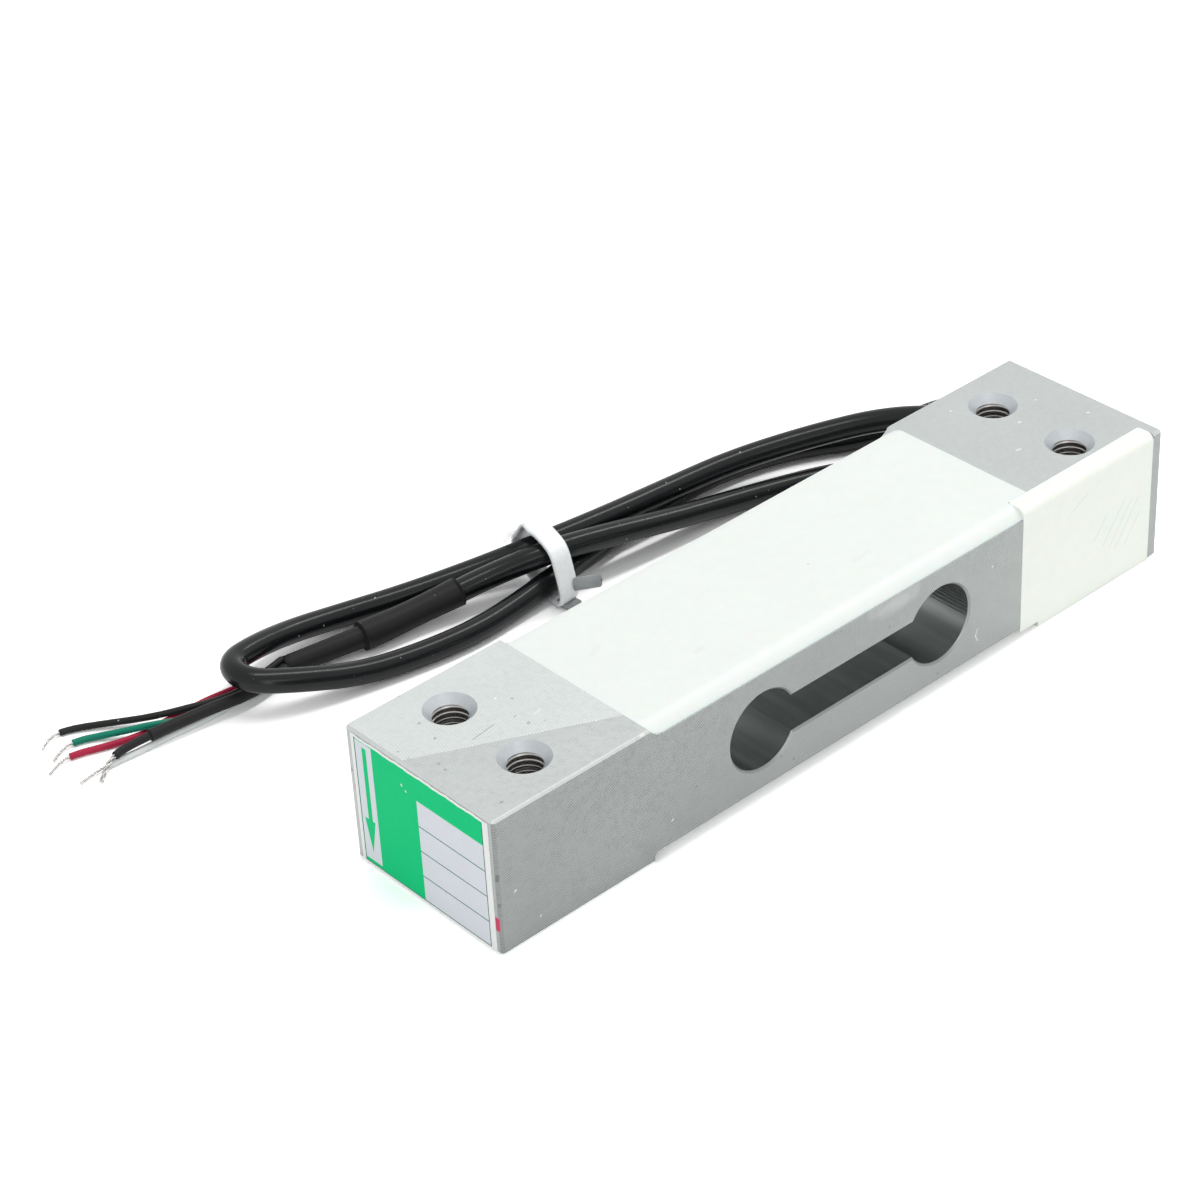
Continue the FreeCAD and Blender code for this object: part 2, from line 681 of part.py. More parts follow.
def make_exit_seal():
    """Sealant ring round the cable where it leaves the bore."""
    inner = CABLE_R + EXIT_SEAL_CLEARANCE
    start = HALF_WIDTH - EXIT_SEAL_DEPTH
    outline = [(inner, start), (CABLE_BORE_R, start), (CABLE_BORE_R, HALF_WIDTH),
               (EXIT_SEAL_BEAD_R, HALF_WIDTH), (inner, HALF_WIDTH + EXIT_SEAL_BEAD)]
    corners = [Vec(CABLE_EXIT_X + r, y, CABLE_BORE_Z) for r, y in outline]
    face = Part.Face(Part.makePolygon(corners + corners[:1]))
    return face.revolve(Vec(CABLE_EXIT_X, 0, CABLE_BORE_Z), Vec(0, 1, 0), 360)


# ---------------------------------------------------------------- cable and leads
def make_cable_parts():
    """Cable jacket, outer and inner shrink sleeve, on one route."""
    edges, radii = route_edges(CABLE_ROUTE)
    jacket_edges = edges[:run_start(JACKET_END) + 1]
    report_tube("cable", jacket_edges, radii[:JACKET_END], CABLE_R)
    cable = tube(jacket_edges, CABLE_R)
    sleeve_edges = edges[run_start(OUTER_SLEEVE_START):run_start(OUTER_SLEEVE_END) + 1]
    outer = tube(sleeve_edges, OUTER_SLEEVE_R).cut(tube(sleeve_edges, OUTER_SLEEVE_BORE_R))
    inner_edges = edges[run_start(JACKET_END) + 1:]
    inner = tube(inner_edges, INNER_SLEEVE_R)
    return cable, outer, inner


def make_lead(route):
    """Insulated lead and its bare tinned tip, from the last bend on."""
    edges, radii = route_edges(route)
    strip = run_start(len(route) - 3) + 1
    report_tube("lead", edges, radii, LEAD_R)
    return tube(edges[:strip], LEAD_R), tube(edges[strip:], CONDUCTOR_R)


def make_drain_parts():
    """Drain wire in two telescoped shrink sleeves, with its twisted end bare."""
    edges, radii = route_edges(DRAIN_ROUTE)
    report_tube("drain", edges, radii, DRAIN_R)
    sleeve_end = run_start(SHIELD_SLEEVE_END) + 1
    step_end = run_start(SHIELD_STEP_END)
    sleeve = tube(edges[:sleeve_end], SHIELD_SLEEVE_R)
    step = tube(edges[sleeve_end:step_end], SHIELD_STEP_R)
    return tube(edges[step_end:], DRAIN_R), sleeve, step


# ---------------------------------------------------------------- cable tie
def wrap_outline(radius):
    """Line that wraps the tie's rounds, listed anticlockwise, at a given radius."""
    count = len(TIE_WRAP)
    centres = [Vec(0, p, q) for p, q in TIE_WRAP]
    normals = []
    for i in range(count):
        run = centres[(i + 1) % count] - centres[i]
        run.normalize()
        normals.append(Vec(0, run.z, -run.y))
    edges = []
    for i in range(count):
        before = normals[i - 1]
        after = normals[i]
        middle = (before + after).normalize()
        edges.append(Part.Arc(centres[i] + before * radius, centres[i] + middle * radius,
                              centres[i] + after * radius).toShape())
        ahead = centres[(i + 1) % count]
        edges.append(Part.LineSegment(centres[i] + after * radius,
                                      ahead + after * radius).toShape())
    return Part.Wire(edges)


def make_tie():
    """Flat plastic-coated strip wrapped once round the three runs of cable."""
    inner = CABLE_R + TIE_CLEARANCE
    outer = inner + TIE_THICKNESS

    def loop(x0, x1):
        ring = Part.Face(wrap_outline(outer)).cut(Part.Face(wrap_outline(inner)))
        ring.translate(Vec(x0, 0, 0))
        return ring.extrude(Vec(x1 - x0, 0, 0))

    half = TIE_WIDTH / 2
    band = loop(-half, half)
    tails = loop(-half - TIE_TAIL, -half)
    back_tail = tails.common(box(-half - TIE_TAIL, -half, *TIE_BACK_TAIL))
    low_tail = tails.common(box(-half - TIE_TAIL, -half, *TIE_LOW_TAIL))
    front_mid = min(centre[0] for centre in TIE_WRAP)
    front_y = front_mid - outer
    stub_x = half - TIE_STUB_LAP
    stub = box(stub_x, stub_x + TIE_STUB_LENGTH, front_y, front_y + TIE_THICKNESS, *TIE_STUB_Z)
    stub.rotate(Vec(stub_x, front_y + TIE_THICKNESS, 0), Vec(0, 0, 1), TIE_STUB_TURN)
    foot = box(-half + TIE_FOOT_X[0], half - TIE_FOOT_X[1], front_y - TIE_FOOT_OUT, front_mid,
               *TIE_FOOT_Z)
    tie = band.fuse([back_tail, low_tail, stub, foot])
    tie.rotate(Vec(0, 0, 0), Vec(0, 0, 1), -TIE_YAW)
    tie.translate(Vec(TIE_CENTRE[0], TIE_CENTRE[1], 0))
    return tie


# ---------------------------------------------------------------- build
def main():
    os.makedirs("parts", exist_ok=True)
    nodes = {}
    nodes["spring_element"] = make_spring_element()
    nodes["end_label"] = make_label()
    for place, x in zip(("near", "far"), GAUGE_XS):
        nodes["gauge_top_" + place] = make_gauge(x, True)
        nodes["gauge_bottom_" + place] = make_gauge(x, False)
    nodes["terminals_top"] = make_terminals(True)
    nodes["terminals_bottom"] = make_terminals(False)
    nodes["jumpers_top"] = make_jumpers(True)
    nodes["jumpers_bottom"] = make_jumpers(False)
    nodes["compensation_board"] = make_board()
    nodes["trim_resistors"] = make_resistors()
    nodes["solder_posts"] = make_solder_posts()
    nodes["core_tails"] = make_core_tails()

    inside = [shape for name, shape in nodes.items()
              if name not in ("spring_element", "end_label")]
    nodes["top_seal"] = make_top_seal(inside, nodes["spring_element"])
    nodes["bottom_seal"] = make_bottom_seal(inside)
    nodes["pocket_seal"] = make_pocket_seal(inside)
    nodes["exit_seal"] = make_exit_seal()

    cable, outer_sleeve, inner_sleeve = make_cable_parts()
    nodes["cable"] = cable
    nodes["outer_sleeve"] = outer_sleeve
    nodes["inner_sleeve"] = inner_sleeve
    leads = {"black": BLACK_ROUTE, "red": RED_ROUTE, "green": GREEN_ROUTE, "white": WHITE_ROUTE}
    for colour, route in leads.items():
        lead, tip = make_lead(route)
        nodes["lead_" + colour] = lead.cut(inner_sleeve)
        nodes["tip_" + colour] = tip
    drain, shield, step = make_drain_parts()
    nodes["drain_wire"] = drain
    nodes["shield_sleeve"] = shield.cut(inner_sleeve)
    nodes["shield_step"] = step
    nodes["cable_tie"] = make_tie()

    for name, shape in nodes.items():
        save(name, shape)


main()
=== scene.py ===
import bmesh
import bpy
import math
from mathutils import Matrix, Vector
import random


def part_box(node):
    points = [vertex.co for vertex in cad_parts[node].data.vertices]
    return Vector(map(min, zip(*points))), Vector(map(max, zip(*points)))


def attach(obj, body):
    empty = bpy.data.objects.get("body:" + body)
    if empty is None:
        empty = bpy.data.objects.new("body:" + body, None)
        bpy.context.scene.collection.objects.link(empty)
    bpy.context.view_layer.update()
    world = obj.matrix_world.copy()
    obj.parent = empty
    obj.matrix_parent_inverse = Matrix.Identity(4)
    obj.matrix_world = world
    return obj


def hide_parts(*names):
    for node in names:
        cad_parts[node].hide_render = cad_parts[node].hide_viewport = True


# Single point load cell: dressed model of the milled block, its sealant, label,
# tied cable and bare leads. Metres; the frame's origin and axes.

MM = 0.001

# Camera: place, right-hand and view directions; lens and sensor in millimetres.
CAMERA_AT = Vector((-0.265589, -0.272890, 0.277788))
CAMERA_RIGHT = Vector((0.73868, -0.67250, -0.04584))
CAMERA_AHEAD = Vector((0.53655, 0.62779, -0.56391))
CAMERA_LENS = 98.97
CAMERA_SENSOR = 36.0


def metres(points):
    """Points given in millimetres, in metres."""
    return [tuple(round(c * MM, 7) for c in point) for point in points]


# Cable, from inside its bore, round the hank and into the shrink sleeves.
CABLE_ROUTE = metres([
    (60.2, 10.5, 11.0), (60.2, 21.5, 11.0), (55.0, 31.0, 9.2), (45.5, 38.0, 7.2),
    (33.5, 43.6, 5.6), (20.5, 44.9, 5.6), (7.8, 45.2, 6.3), (-2.5, 47.0, 6.0),
    (-11.2, 52.0, 3.2), (-22.5, 56.0, 2.0), (-32.5, 58.9, 2.0), (-41.0, 59.6, 3.2),
    (-48.5, 58.3, 4.9), (-55.0, 56.6, 5.8), (-55.6, 51.0, 5.8), (-49.3, 47.5, 4.6),
    (-40.5, 44.8, 2.4), (-31.5, 42.8, 1.9), (-21.5, 41.4, 1.9), (-12.3, 42.1, 2.0),
    (-3.6, 42.4, 3.2), (5.5, 44.5, 2.2), (14.5, 46.3, 1.9), (25.0, 47.4, 1.9),
    (36.5, 46.8, 1.9), (47.0, 43.6, 1.9), (55.5, 38.4, 1.9), (62.5, 35.6, 1.9),
    (70.5, 35.3, 1.9), (77.0, 31.5, 1.9), (77.5, 24.0, 1.9), (72.0, 19.0, 1.9),
    (64.5, 19.2, 1.9), (58.5, 23.4, 1.9), (53.0, 28.6, 1.9), (45.5, 33.6, 1.9),
    (36.0, 37.2, 1.9), (26.0, 39.4, 2.6), (16.0, 40.0, 4.4), (5.8, 41.0, 6.4),
    (-4.2, 43.2, 7.2), (-12.4, 47.7, 4.7), (-21.2, 49.9, 3.2), (-29.8, 51.1, 2.6),
    (-38.2, 52.8, 2.2), (-46.4, 54.9, 1.75),
])
CABLE_RADIUS = 1.85 * MM
# places along the last run, by X, at which the pieces begin and end
OUTER_SLEEVE_X = (-0.0177, -0.0343)
JACKET_END_X = -0.0259
OUTER_SLEEVE_RADIUS = 2.3 * MM
INNER_SLEEVE_RADIUS = 1.7 * MM

# Leads, from the end of the inner sleeve to their bare tips.
LEAD_ROUTES = {
    "black": metres([
        (-46.3, 55.3, 2.9), (-51.3, 54.6, 2.6), (-54.7, 54.6, 1.7), (-58.8, 55.6, 1.65),
        (-62.3, 56.8, 1.8), (-67.1, 59.6, 1.2), (-72.4, 63.8, 0.7), (-76.2, 66.4, 0.5),
        (-79.6, 67.1, 0.5), (-81.8, 65.3, 0.4),
    ]),
    "red": metres([
        (-46.2, 55.8, 1.95), (-50.6, 56.2, 1.5), (-53.4, 56.6, 1.0), (-55.9, 57.4, 0.6),
        (-59.0, 57.9, 0.55), (-62.4, 57.8, 0.55), (-66.1, 58.0, 0.55),
        (-70.1, 57.7, 0.55), (-75.3, 59.3, 0.55), (-78.8, 60.7, 0.55),
        (-81.8, 61.1, 0.55), (-84.5, 59.6, 0.4),
    ]),
    "green": metres([
        (-46.2, 55.6, 0.9), (-51.0, 55.2, 0.6), (-54.0, 55.6, 0.55), (-58.7, 55.6, 0.55),
        (-63.1, 55.5, 0.9), (-66.9, 56.6, 1.65), (-69.0, 57.6, 1.75), (-71.3, 59.4, 1.2),
        (-74.3, 61.8, 0.6), (-76.7, 63.1, 0.55), (-79.6, 63.5, 0.55), (-82.2, 61.9, 0.4),
    ]),
    "white": metres([
        (-46.5, 54.6, 0.6), (-51.3, 53.6, 0.55), (-54.9, 54.3, 0.55), (-59.5, 54.1, 0.55),
        (-63.5, 54.3, 0.55), (-67.9, 54.7, 0.55), (-72.0, 54.8, 0.55),
        (-75.8, 55.2, 0.55), (-79.4, 55.4, 0.55), (-82.6, 54.8, 0.4),
    ]),
}
DRAIN_ROUTE = metres([
    (-46.6, 54.1, 2.0), (-51.5, 53.0, 2.0), (-55.7, 53.0, 2.1), (-59.7, 53.7, 2.2),
    (-63.6, 54.2, 2.2), (-67.9, 54.7, 2.15), (-71.5, 55.2, 1.95), (-75.3, 55.4, 1.8),
    (-78.1, 54.6, 1.4), (-80.3, 53.0, 0.4),
])
LEAD_RADIUS = 0.5 * MM
CONDUCTOR_RADIUS = 0.28 * MM
SHIELD_RADIUS = 0.9 * MM
SHIELD_STEP_RADIUS = 0.62 * MM
DRAIN_RADIUS = 0.35 * MM
# bare length at the end of each lead, and where the two shield sleeves end
TIP_LENGTH = {"black": 4.3 * MM, "red": 4.6 * MM, "green": 4.5 * MM, "white": 5.0 * MM}
SHIELD_END = 24.0 * MM
SHIELD_STEP_END = 30.0 * MM

# Cable tie, in millimetres: the rounds that the strip wraps, across the bundle and up.
TIE_AT = (-5.4, 44.0)
TIE_YAW = -2.0
TIE_WRAP = [(5.9, 4.5), (3.6, 6.7), (0.8, 7.6), (-2.1, 7.2), (-3.9, 2.85), (0.3, 2.8)]
TIE_INNER = 2.1
TIE_OUTER = 2.8
TIE_HALF_WIDTH = 1.75
TIE_TAIL = 2.4
# points round the strip, and how many times its corners are eased
TIE_STEPS = 120
TIE_EASING = 10
# where its pulled-up ends lift it: by how much, middle and spread, and from what height
TIE_PEAK = 1.0
TIE_PEAK_AT = (4.4, 1.2)
TIE_TOP = 6.0
# the strip runs askew over the bundle
TIE_LEAN = 0.25
TIE_LEAN_FROM = -3.0

# Block, read from the frame.
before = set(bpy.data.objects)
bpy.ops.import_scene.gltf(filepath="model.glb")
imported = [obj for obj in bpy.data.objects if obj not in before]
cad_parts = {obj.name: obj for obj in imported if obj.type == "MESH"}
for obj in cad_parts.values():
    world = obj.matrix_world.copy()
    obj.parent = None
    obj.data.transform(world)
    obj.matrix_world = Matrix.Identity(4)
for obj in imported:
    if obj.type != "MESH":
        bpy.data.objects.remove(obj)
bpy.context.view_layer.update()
BLOCK_LOW, BLOCK_HIGH = [Vector(corner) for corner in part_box("spring_element")]
TAP_MINOR = 2.5 * MM
TAP_MAJOR = 3.0 * MM
TAP_PITCH = 1.0 * MM
COUNTERSINK_DEPTH = 1.2 * MM
HOLES = [(x, y) for x in (-0.053, 0.053) for y in (-0.0075, 0.0075)]
# the thread's ridge starts this far inside the countersink, in this many steps a turn
THREAD_INSET = 0.25 * MM
THREAD_SIDES = 40
# half the ridge's width at its root, in pitches, and at its crest, as a share of that
RIDGE_ROOT = 0.46
RIDGE_CREST = 0.15
# vertices nearer than this are one
WELD_BLOCK = 1e-6
WELD_THREAD = 1e-7
WELD_WIRE = 0.002 * MM
# how far a vertex may lie from the wall or rim that is looked for
ON_WALL = 0.01 * MM
ON_RIM_HEIGHT = 0.05 * MM
ON_RIM_REACH = 0.1 * MM
FEWEST_SIDES = 12
# faces that meet at more than this keep a hard edge
SHARP = math.radians(25)
# what tells the finishes of the block apart: square faces, then places in millimetres
SQUARE = 0.97
LEVEL = 0.95
SIDEWAYS = 0.3
COUNTERSINK_REACH = 3.75
PAD_FROM = 21.9
WINDOW_LEVELS = (2.5, 20.0)
WINDOW_HALF = 24
WINDOW_WALLS = (4.5, 17.5)
BORE_AT = (60.2, 11)
BORE_REACH = 2.5
END_FROM = 64


# -------- node helpers
def put(tree, kind, inputs=(), **settings):
    """Adds a node; inputs are pairs of a socket and a value or another output."""
    node = tree.nodes.new(kind)
    for key, value in settings.items():
        setattr(node, key, value)
    for key, value in inputs:
        if isinstance(value, bpy.types.NodeSocket):
            tree.links.new(value, node.inputs[key])
        else:
            node.inputs[key].default_value = value
    return node


def maths(tree, operation, a, b=0.0, c=None, clamp=False):
    """Output of a maths node; each operand is a number or another output."""
    pairs = [(0, a), (1, b)] + ([(2, c)] if c is not None else [])
    node = put(tree, "ShaderNodeMath", pairs, operation=operation, use_clamp=clamp)
    return node.outputs[0]


def blend(tree, factor, a, b):
    """A number between a and b, by a factor."""
    return put(tree, "ShaderNodeMix", [(0, factor), (2, a), (3, b)]).outputs[0]


def tint(tree, factor, a, b, mode="MIX"):
    """A colour between a and b, by a factor, or the two blended in another mode."""
    node = put(tree, "ShaderNodeMix", [(0, factor), (6, a), (7, b)],
               data_type="RGBA", blend_type=mode)
    return node.outputs[2]


def ramp(tree, value, low, high, out_low=0.0, out_high=1.0):
    """A value's range laid onto another range, and held between its ends."""
    pairs = [("Value", value), ("From Min", low), ("From Max", high), ("To Min", out_low),
             ("To Max", out_high)]
    return put(tree, "ShaderNodeMapRange", pairs).outputs[0]


def noise(tree, vector, scale, detail=2.0, distortion=0.0):
    """Soft noise about 0.5."""
    pairs = [("Vector", vector), ("Scale", scale), ("Detail", detail),
             ("Distortion", distortion)]
    return put(tree, "ShaderNodeTexNoise", pairs).outputs[0]


def new_group(name, inputs, outputs):
    """Shader node group: its tree, the sockets it is given and those of its result.

    Inputs are (name, kind, default), outputs are (name, kind).
    """
    tree = bpy.data.node_groups.new(name, "ShaderNodeTree")
    for label, kind, default in inputs:
        socket = tree.interface.new_socket(label, in_out="INPUT", socket_type=kind)
        if default is not None:
            socket.default_value = default
    for label, kind in outputs:
        tree.interface.new_socket(label, in_out="OUTPUT", socket_type=kind)
    given = tree.nodes.new("NodeGroupInput").outputs
    return tree, given, tree.nodes.new("NodeGroupOutput").inputs


def use_group(tree, group, inputs):
    """Adds a shared effect; inputs are as for put."""
    return put(tree, "ShaderNodeGroup", inputs, node_tree=group)


FLOAT, VECTOR = "NodeSocketFloat", "NodeSocketVector"


# -------- shared effects
def make_feed_marks():
    """Cutter marks: fine arcs at an even feed, in the plane of the vector's X and Y."""
    tree, given, result = new_group(
        "feed_marks",
        [("Vector", VECTOR, None), ("Feed", FLOAT, 0.0004), ("Bend", FLOAT, 0.0)],
        [("Height", FLOAT)])
    parts = put(tree, "ShaderNodeSeparateXYZ", [(0, given["Vector"])]).outputs
    sideways = maths(tree, "MULTIPLY", parts[1], parts[1])
    bent = maths(tree, "MULTIPLY_ADD", sideways, given["Bend"], parts[0])
    wander = noise(tree, given["Vector"], 260.0)
    drift = maths(tree, "MULTIPLY_ADD", wander, 0.00022, bent)
    turns = maths(tree, "DIVIDE", drift, given["Feed"])
    wave = maths(tree, "SINE", maths(tree, "MULTIPLY", turns, 2 * math.pi))
    depth = ramp(tree, noise(tree, given["Vector"], 900.0, 3.0), 0.3, 0.7, 0.35, 1.0)
    tree.links.new(maths(tree, "MULTIPLY", wave, depth), result["Height"])
    return tree


def make_specks():
    """Scattered small marks: grit, dust and pits."""
    tree, given, result = new_group(
        "specks",
        [("Vector", VECTOR, None), ("Scale", FLOAT, 600.0), ("Size", FLOAT, 0.12),
         ("Share", FLOAT, 0.3)],
        [("Mask", FLOAT)])
    cells = put(tree, "ShaderNodeTexVoronoi", [("Vector", given["Vector"]),
                                               ("Scale", given["Scale"])]).outputs
    chance = put(tree, "ShaderNodeSeparateColor", [(0, cells["Color"])]).outputs
    chosen = maths(tree, "LESS_THAN", chance[0], given["Share"])
    spread = maths(tree, "MULTIPLY_ADD", chance[1], 0.8, 0.35)
    size = maths(tree, "MULTIPLY", given["Size"], spread)
    near = maths(tree, "LESS_THAN", cells["Distance"], size)
    tree.links.new(maths(tree, "MULTIPLY", chosen, near), result["Mask"])
    return tree


def make_tone():
    """Slow and fine variation of a tone about 1."""
    tree, given, result = new_group(
        "tone",
        [("Vector", VECTOR, None), ("Broad", FLOAT, 60.0), ("Fine", FLOAT, 900.0),
         ("Contrast", FLOAT, 0.08)],
        [("Factor", FLOAT), ("Height", FLOAT)])
    broad = noise(tree, given["Vector"], given["Broad"], 3.0)
    fine = noise(tree, given["Vector"], given["Fine"], 4.0)
    centred = maths(tree, "SUBTRACT", maths(tree, "ADD", broad, fine), 1.0)
    factor = maths(tree, "MULTIPLY_ADD", centred, given["Contrast"], 1.0)
    tree.links.new(factor, result["Factor"])
    tree.links.new(fine, result["Height"])
    return tree


def make_stroke():
    """Mask of a stroke between two places, soft at its rim."""
    tree, given, result = new_group(
        "stroke",
        [("Vector", VECTOR, None), ("From", VECTOR, None), ("To", VECTOR, None),
         ("Radius", FLOAT, 0.0002)],
        [("Mask", FLOAT)])

    def vectors(operation, a, b):
        """Outputs of a vector maths node."""
        pairs = [(0, a), (1, b)]
        return put(tree, "ShaderNodeVectorMath", pairs, operation=operation).outputs

    run = vectors("SUBTRACT", given["To"], given["From"])[0]
    reach = vectors("SUBTRACT", given["Vector"], given["From"])[0]
    along = vectors("DOT_PRODUCT", reach, run)["Value"]
    square = vectors("DOT_PRODUCT", run, run)["Value"]
    # a stroke may be a dot, so its length is kept above nothing
    share = maths(tree, "DIVIDE", along, maths(tree, "ADD", square, 1e-12), clamp=True)
    foot = put(tree, "ShaderNodeVectorMath", [(0, run), ("Scale", share)],
               operation="SCALE").outputs[0]
    gap = vectors("DISTANCE", reach, foot)["Value"]
    depth = maths(tree, "DIVIDE", gap, given["Radius"])
    tree.links.new(ramp(tree, depth, 1.15, 0.6), result["Mask"])
    return tree


FEED_MARKS = make_feed_marks()
SPECKS = make_specks()
TONE = make_tone()
STROKE = make_stroke()


# -------- materials
def start_material(name, roughness, metallic=0.0, specular=0.5, ior=1.5):
    """New material, with its tree, its shader and the place on the part."""
    material = bpy.data.materials.new(name)
    material.use_nodes = True
    tree = material.node_tree
    shader = tree.nodes["Principled BSDF"]
    for label, value in (("Roughness", roughness), ("Metallic", metallic),
                         ("Specular IOR Level", specular), ("IOR", ior)):
        shader.inputs[label].default_value = value
    place = tree.nodes.new("ShaderNodeTexCoord").outputs["Object"]
    return material, tree, shader, place


def grey(value, warm=0.0):
    """A grey, or one with more red and less blue by a share."""
    return (value * (1 + warm), value, value * (1 - warm), 1.0)


def scaled(tree, colour, factor):
    """A colour times a varying factor."""
    spread = put(tree, "ShaderNodeCombineColor", [(0, factor), (1, factor), (2, factor)])
    return tint(tree, 1.0, colour, spread.outputs[0], "MULTIPLY")


def marked(tree, place, colour, strokes):
    """Strokes over a colour: each from, to and radius in millimetres, tone, strength."""
    for start, end, radius, stroke_colour, strength in strokes:
        mask = use_group(tree, STROKE, [("Vector", place), ("From", Vector(start) * MM),
                                        ("To", Vector(end) * MM), ("Radius", radius * MM)])
        share = maths(tree, "MULTIPLY", mask.outputs[0], strength)
        colour = tint(tree, share, colour, stroke_colour)
    return colour


def dress(tree, shader, colour, height, distance, rough=None):
    """Gives a shader its colour and relief, and a roughness that varies."""
    relief = put(tree, "ShaderNodeBump", [("Height", height), ("Distance", distance)])
    tree.links.new(relief.outputs[0], shader.inputs["Normal"])
    tree.links.new(colour, shader.inputs["Base Color"])
    if rough is not None:
        tree.links.new(rough, shader.inputs["Roughness"])


def cutter_marks(tree, place, rotation, feed, bend):
    """Height of the cutter marks in a plane, which the rotation lays into the face."""
    plane = put(tree, "ShaderNodeMapping", [("Vector", place), ("Rotation", rotation)])
    return use_group(tree, FEED_MARKS, [("Vector", plane.outputs[0]), ("Feed", feed),
                                        ("Bend", bend)]).outputs[0]


def toned(tree, place, broad, fine, contrast):
    """Slow and fine variation over the part: a factor about 1, and a height."""
    node = use_group(tree, TONE, [("Vector", place), ("Broad", broad), ("Fine", fine),
                                  ("Contrast", contrast)])
    return node.outputs[0], node.outputs[1]


def specked(tree, place, scale, size, share, strength, below, colour):
    """Small marks of a colour over the colour below them."""
    mask = use_group(tree, SPECKS, [("Vector", place), ("Scale", scale), ("Size", size),
                                    ("Share", share)]).outputs[0]
    return tint(tree, maths(tree, "MULTIPLY", mask, strength), below, colour)


# planes that cutter marks lie in, as rotations
FLAT = (0.0, 0.0, 0.0)
ON_SIDE = (math.radians(90), 0.0, 0.0)
ON_END = (0.0, math.radians(90), 0.0)
SLANTED = (math.radians(90), 0.0, math.radians(-57))
# tone of aluminium, as shares of red, green and blue
COOL = (0.965, 1.015, 1.0)


def cool(value):
    """Aluminium's own tone."""
    return (value * COOL[0], value * COOL[1], value * COOL[2], 1.0)


def milled(name, tone, rotation, feed, bend, depth, contrast, roughness=0.4, strokes=(),
           fade=0.0):
    """Milled aluminium with cutter marks; rotation lays the marks into the face."""
    material, tree, shader, place = start_material(name, roughness, 1.0)
    marks = cutter_marks(tree, place, rotation, feed, bend)
    factor, height = toned(tree, place, broad=45.0, fine=1400.0, contrast=0.16)
    lines = maths(tree, "MULTIPLY_ADD", marks, contrast, factor)
    along = put(tree, "ShaderNodeSeparateXYZ", [(0, place)]).outputs[0]
    # painted shading: the face grows darker towards the label end and lighter towards the
    # far end, by fade
    length_fade = ramp(tree, along, -0.065, 0.05, 1.0 - fade, 1.0 + fade)
    colour = scaled(tree, cool(tone), maths(tree, "MULTIPLY", lines, length_fade))
    colour = specked(tree, place, 420.0, 0.10, 0.06, 0.5, colour, grey(tone * 0.45))
    colour = marked(tree, place, colour, strokes)
    rough = maths(tree, "MULTIPLY_ADD", height, 0.12, roughness - 0.06)
    dress(tree, shader, colour, marks, depth, rough)
    return material


DARK, PALE, WHITE = grey(0.12), grey(0.85), grey(1.0)
# marks left by handling: from, to and radius in millimetres, tone and strength
NEAR_PAD_STROKES = [
    ((-55.3, 0.1, 22), (-51.3, 0.6, 22), 0.09, DARK, 0.45),
    ((-58.7, 3.8, 22), (-58.5, 3.9, 22), 0.16, DARK, 0.5),
    ((-47.5, 4.8, 22), (-47.2, 4.9, 22), 0.14, WHITE, 0.6),
    ((-48.2, 0.0, 22), (-48.0, 0.0, 22), 0.14, DARK, 0.4),
    ((-61.5, -12.6, 22), (-61.2, -12.6, 22), 0.2, DARK, 0.4),
    ((-46.0, -1.5, 22), (-44.6, -1.2, 22), 0.08, WHITE, 0.5),
]
SIDE_STROKES = [
    ((-62.2, -15, 9.3), (-62.0, -15, 9.4), 0.16, WHITE, 0.44),
    ((-58.3, -15, 2.8), (-58.2, -15, 3.0), 0.14, WHITE, 0.39),
    ((-34.7, -15, 5.3), (-34.5, -15, 5.4), 0.15, WHITE, 0.39),
    ((25.3, -15, 6.2), (24.9, -15, 5.2), 0.14, WHITE, 0.30),
    ((24.9, -15, 5.2), (25.4, -15, 4.2), 0.14, WHITE, 0.30),
    ((28.2, -15, 15.5), (28.3, -15, 15.6), 0.14, WHITE, 0.33),
    ((17.0, -15, 2.6), (17.1, -15, 2.7), 0.16, DARK, 0.5),
    ((-30.2, -15, 8.4), (-30.0, -15, 8.5), 0.14, DARK, 0.5),
    ((4.0, -15, 19.8), (12.0, -15, 19.3), 1.3, PALE, 0.10),
    ((6.0, -15, 18.6), (10.0, -15, 18.8), 1.2, PALE, 0.09),
]
# painted highlights: light lines along the top edges at the front and at the label end, and
# a painted glint where a burr stands on the front edge
EDGE_HIGHLIGHTS = [
    ((-64.7, -14.6, 21.9), (-38.0, -14.6, 21.9), 0.20, WHITE, 0.20),
    ((-65.0, 14.0, 21.9), (-65.0, -14.6, 21.9), 0.18, WHITE, 0.25),
    ((-39.4, -14.8, 21.8), (-38.8, -14.8, 21.8), 0.18, WHITE, 0.4),
]
END_STROKES = [
    # painted shade down the rounded corner where the side meets the end face
    ((-64.9, -14.9, 0.5), (-64.9, -14.9, 21.4), 0.45, grey(0.16), 0.30),
    ((-64.9, -14.9, 12.4), (-64.8, -14.9, 13.2), 0.3, DARK, 0.6),
    ((-64.9, -14.9, 8.1), (-64.8, -14.9, 8.5), 0.22, DARK, 0.5),
    ((-65, 14.7, 15.6), (-65, 14.1, 14.9), 0.22, DARK, 0.7),
    ((-65, 13.8, 12.6), (-65, 13.8, 12.0), 0.2, (0.45, 0.2, 0.25, 1.0), 0.5),
    ((-65, -14.4, 4.3), (-65, -14.4, 5.9), 0.42, (0.50, 0.03, 0.10, 1.0), 0.95),
]
FAR_PAD_STROKES = [
    ((52.0, 1.5, 22), (52.3, 1.4, 22), 0.2, WHITE, 0.5),
    ((46.0, -3.5, 22), (46.6, -3.6, 22), 0.25, WHITE, 0.35),
    ((58.5, 4.0, 22), (58.6, 4.0, 22), 0.15, WHITE, 0.6),
    ((61.0, -4.0, 22), (61.2, -4.1, 22), 0.16, WHITE, 0.6),
    ((47.5, 11.0, 22), (47.6, 11.0, 22), 0.14, WHITE, 0.6),
]
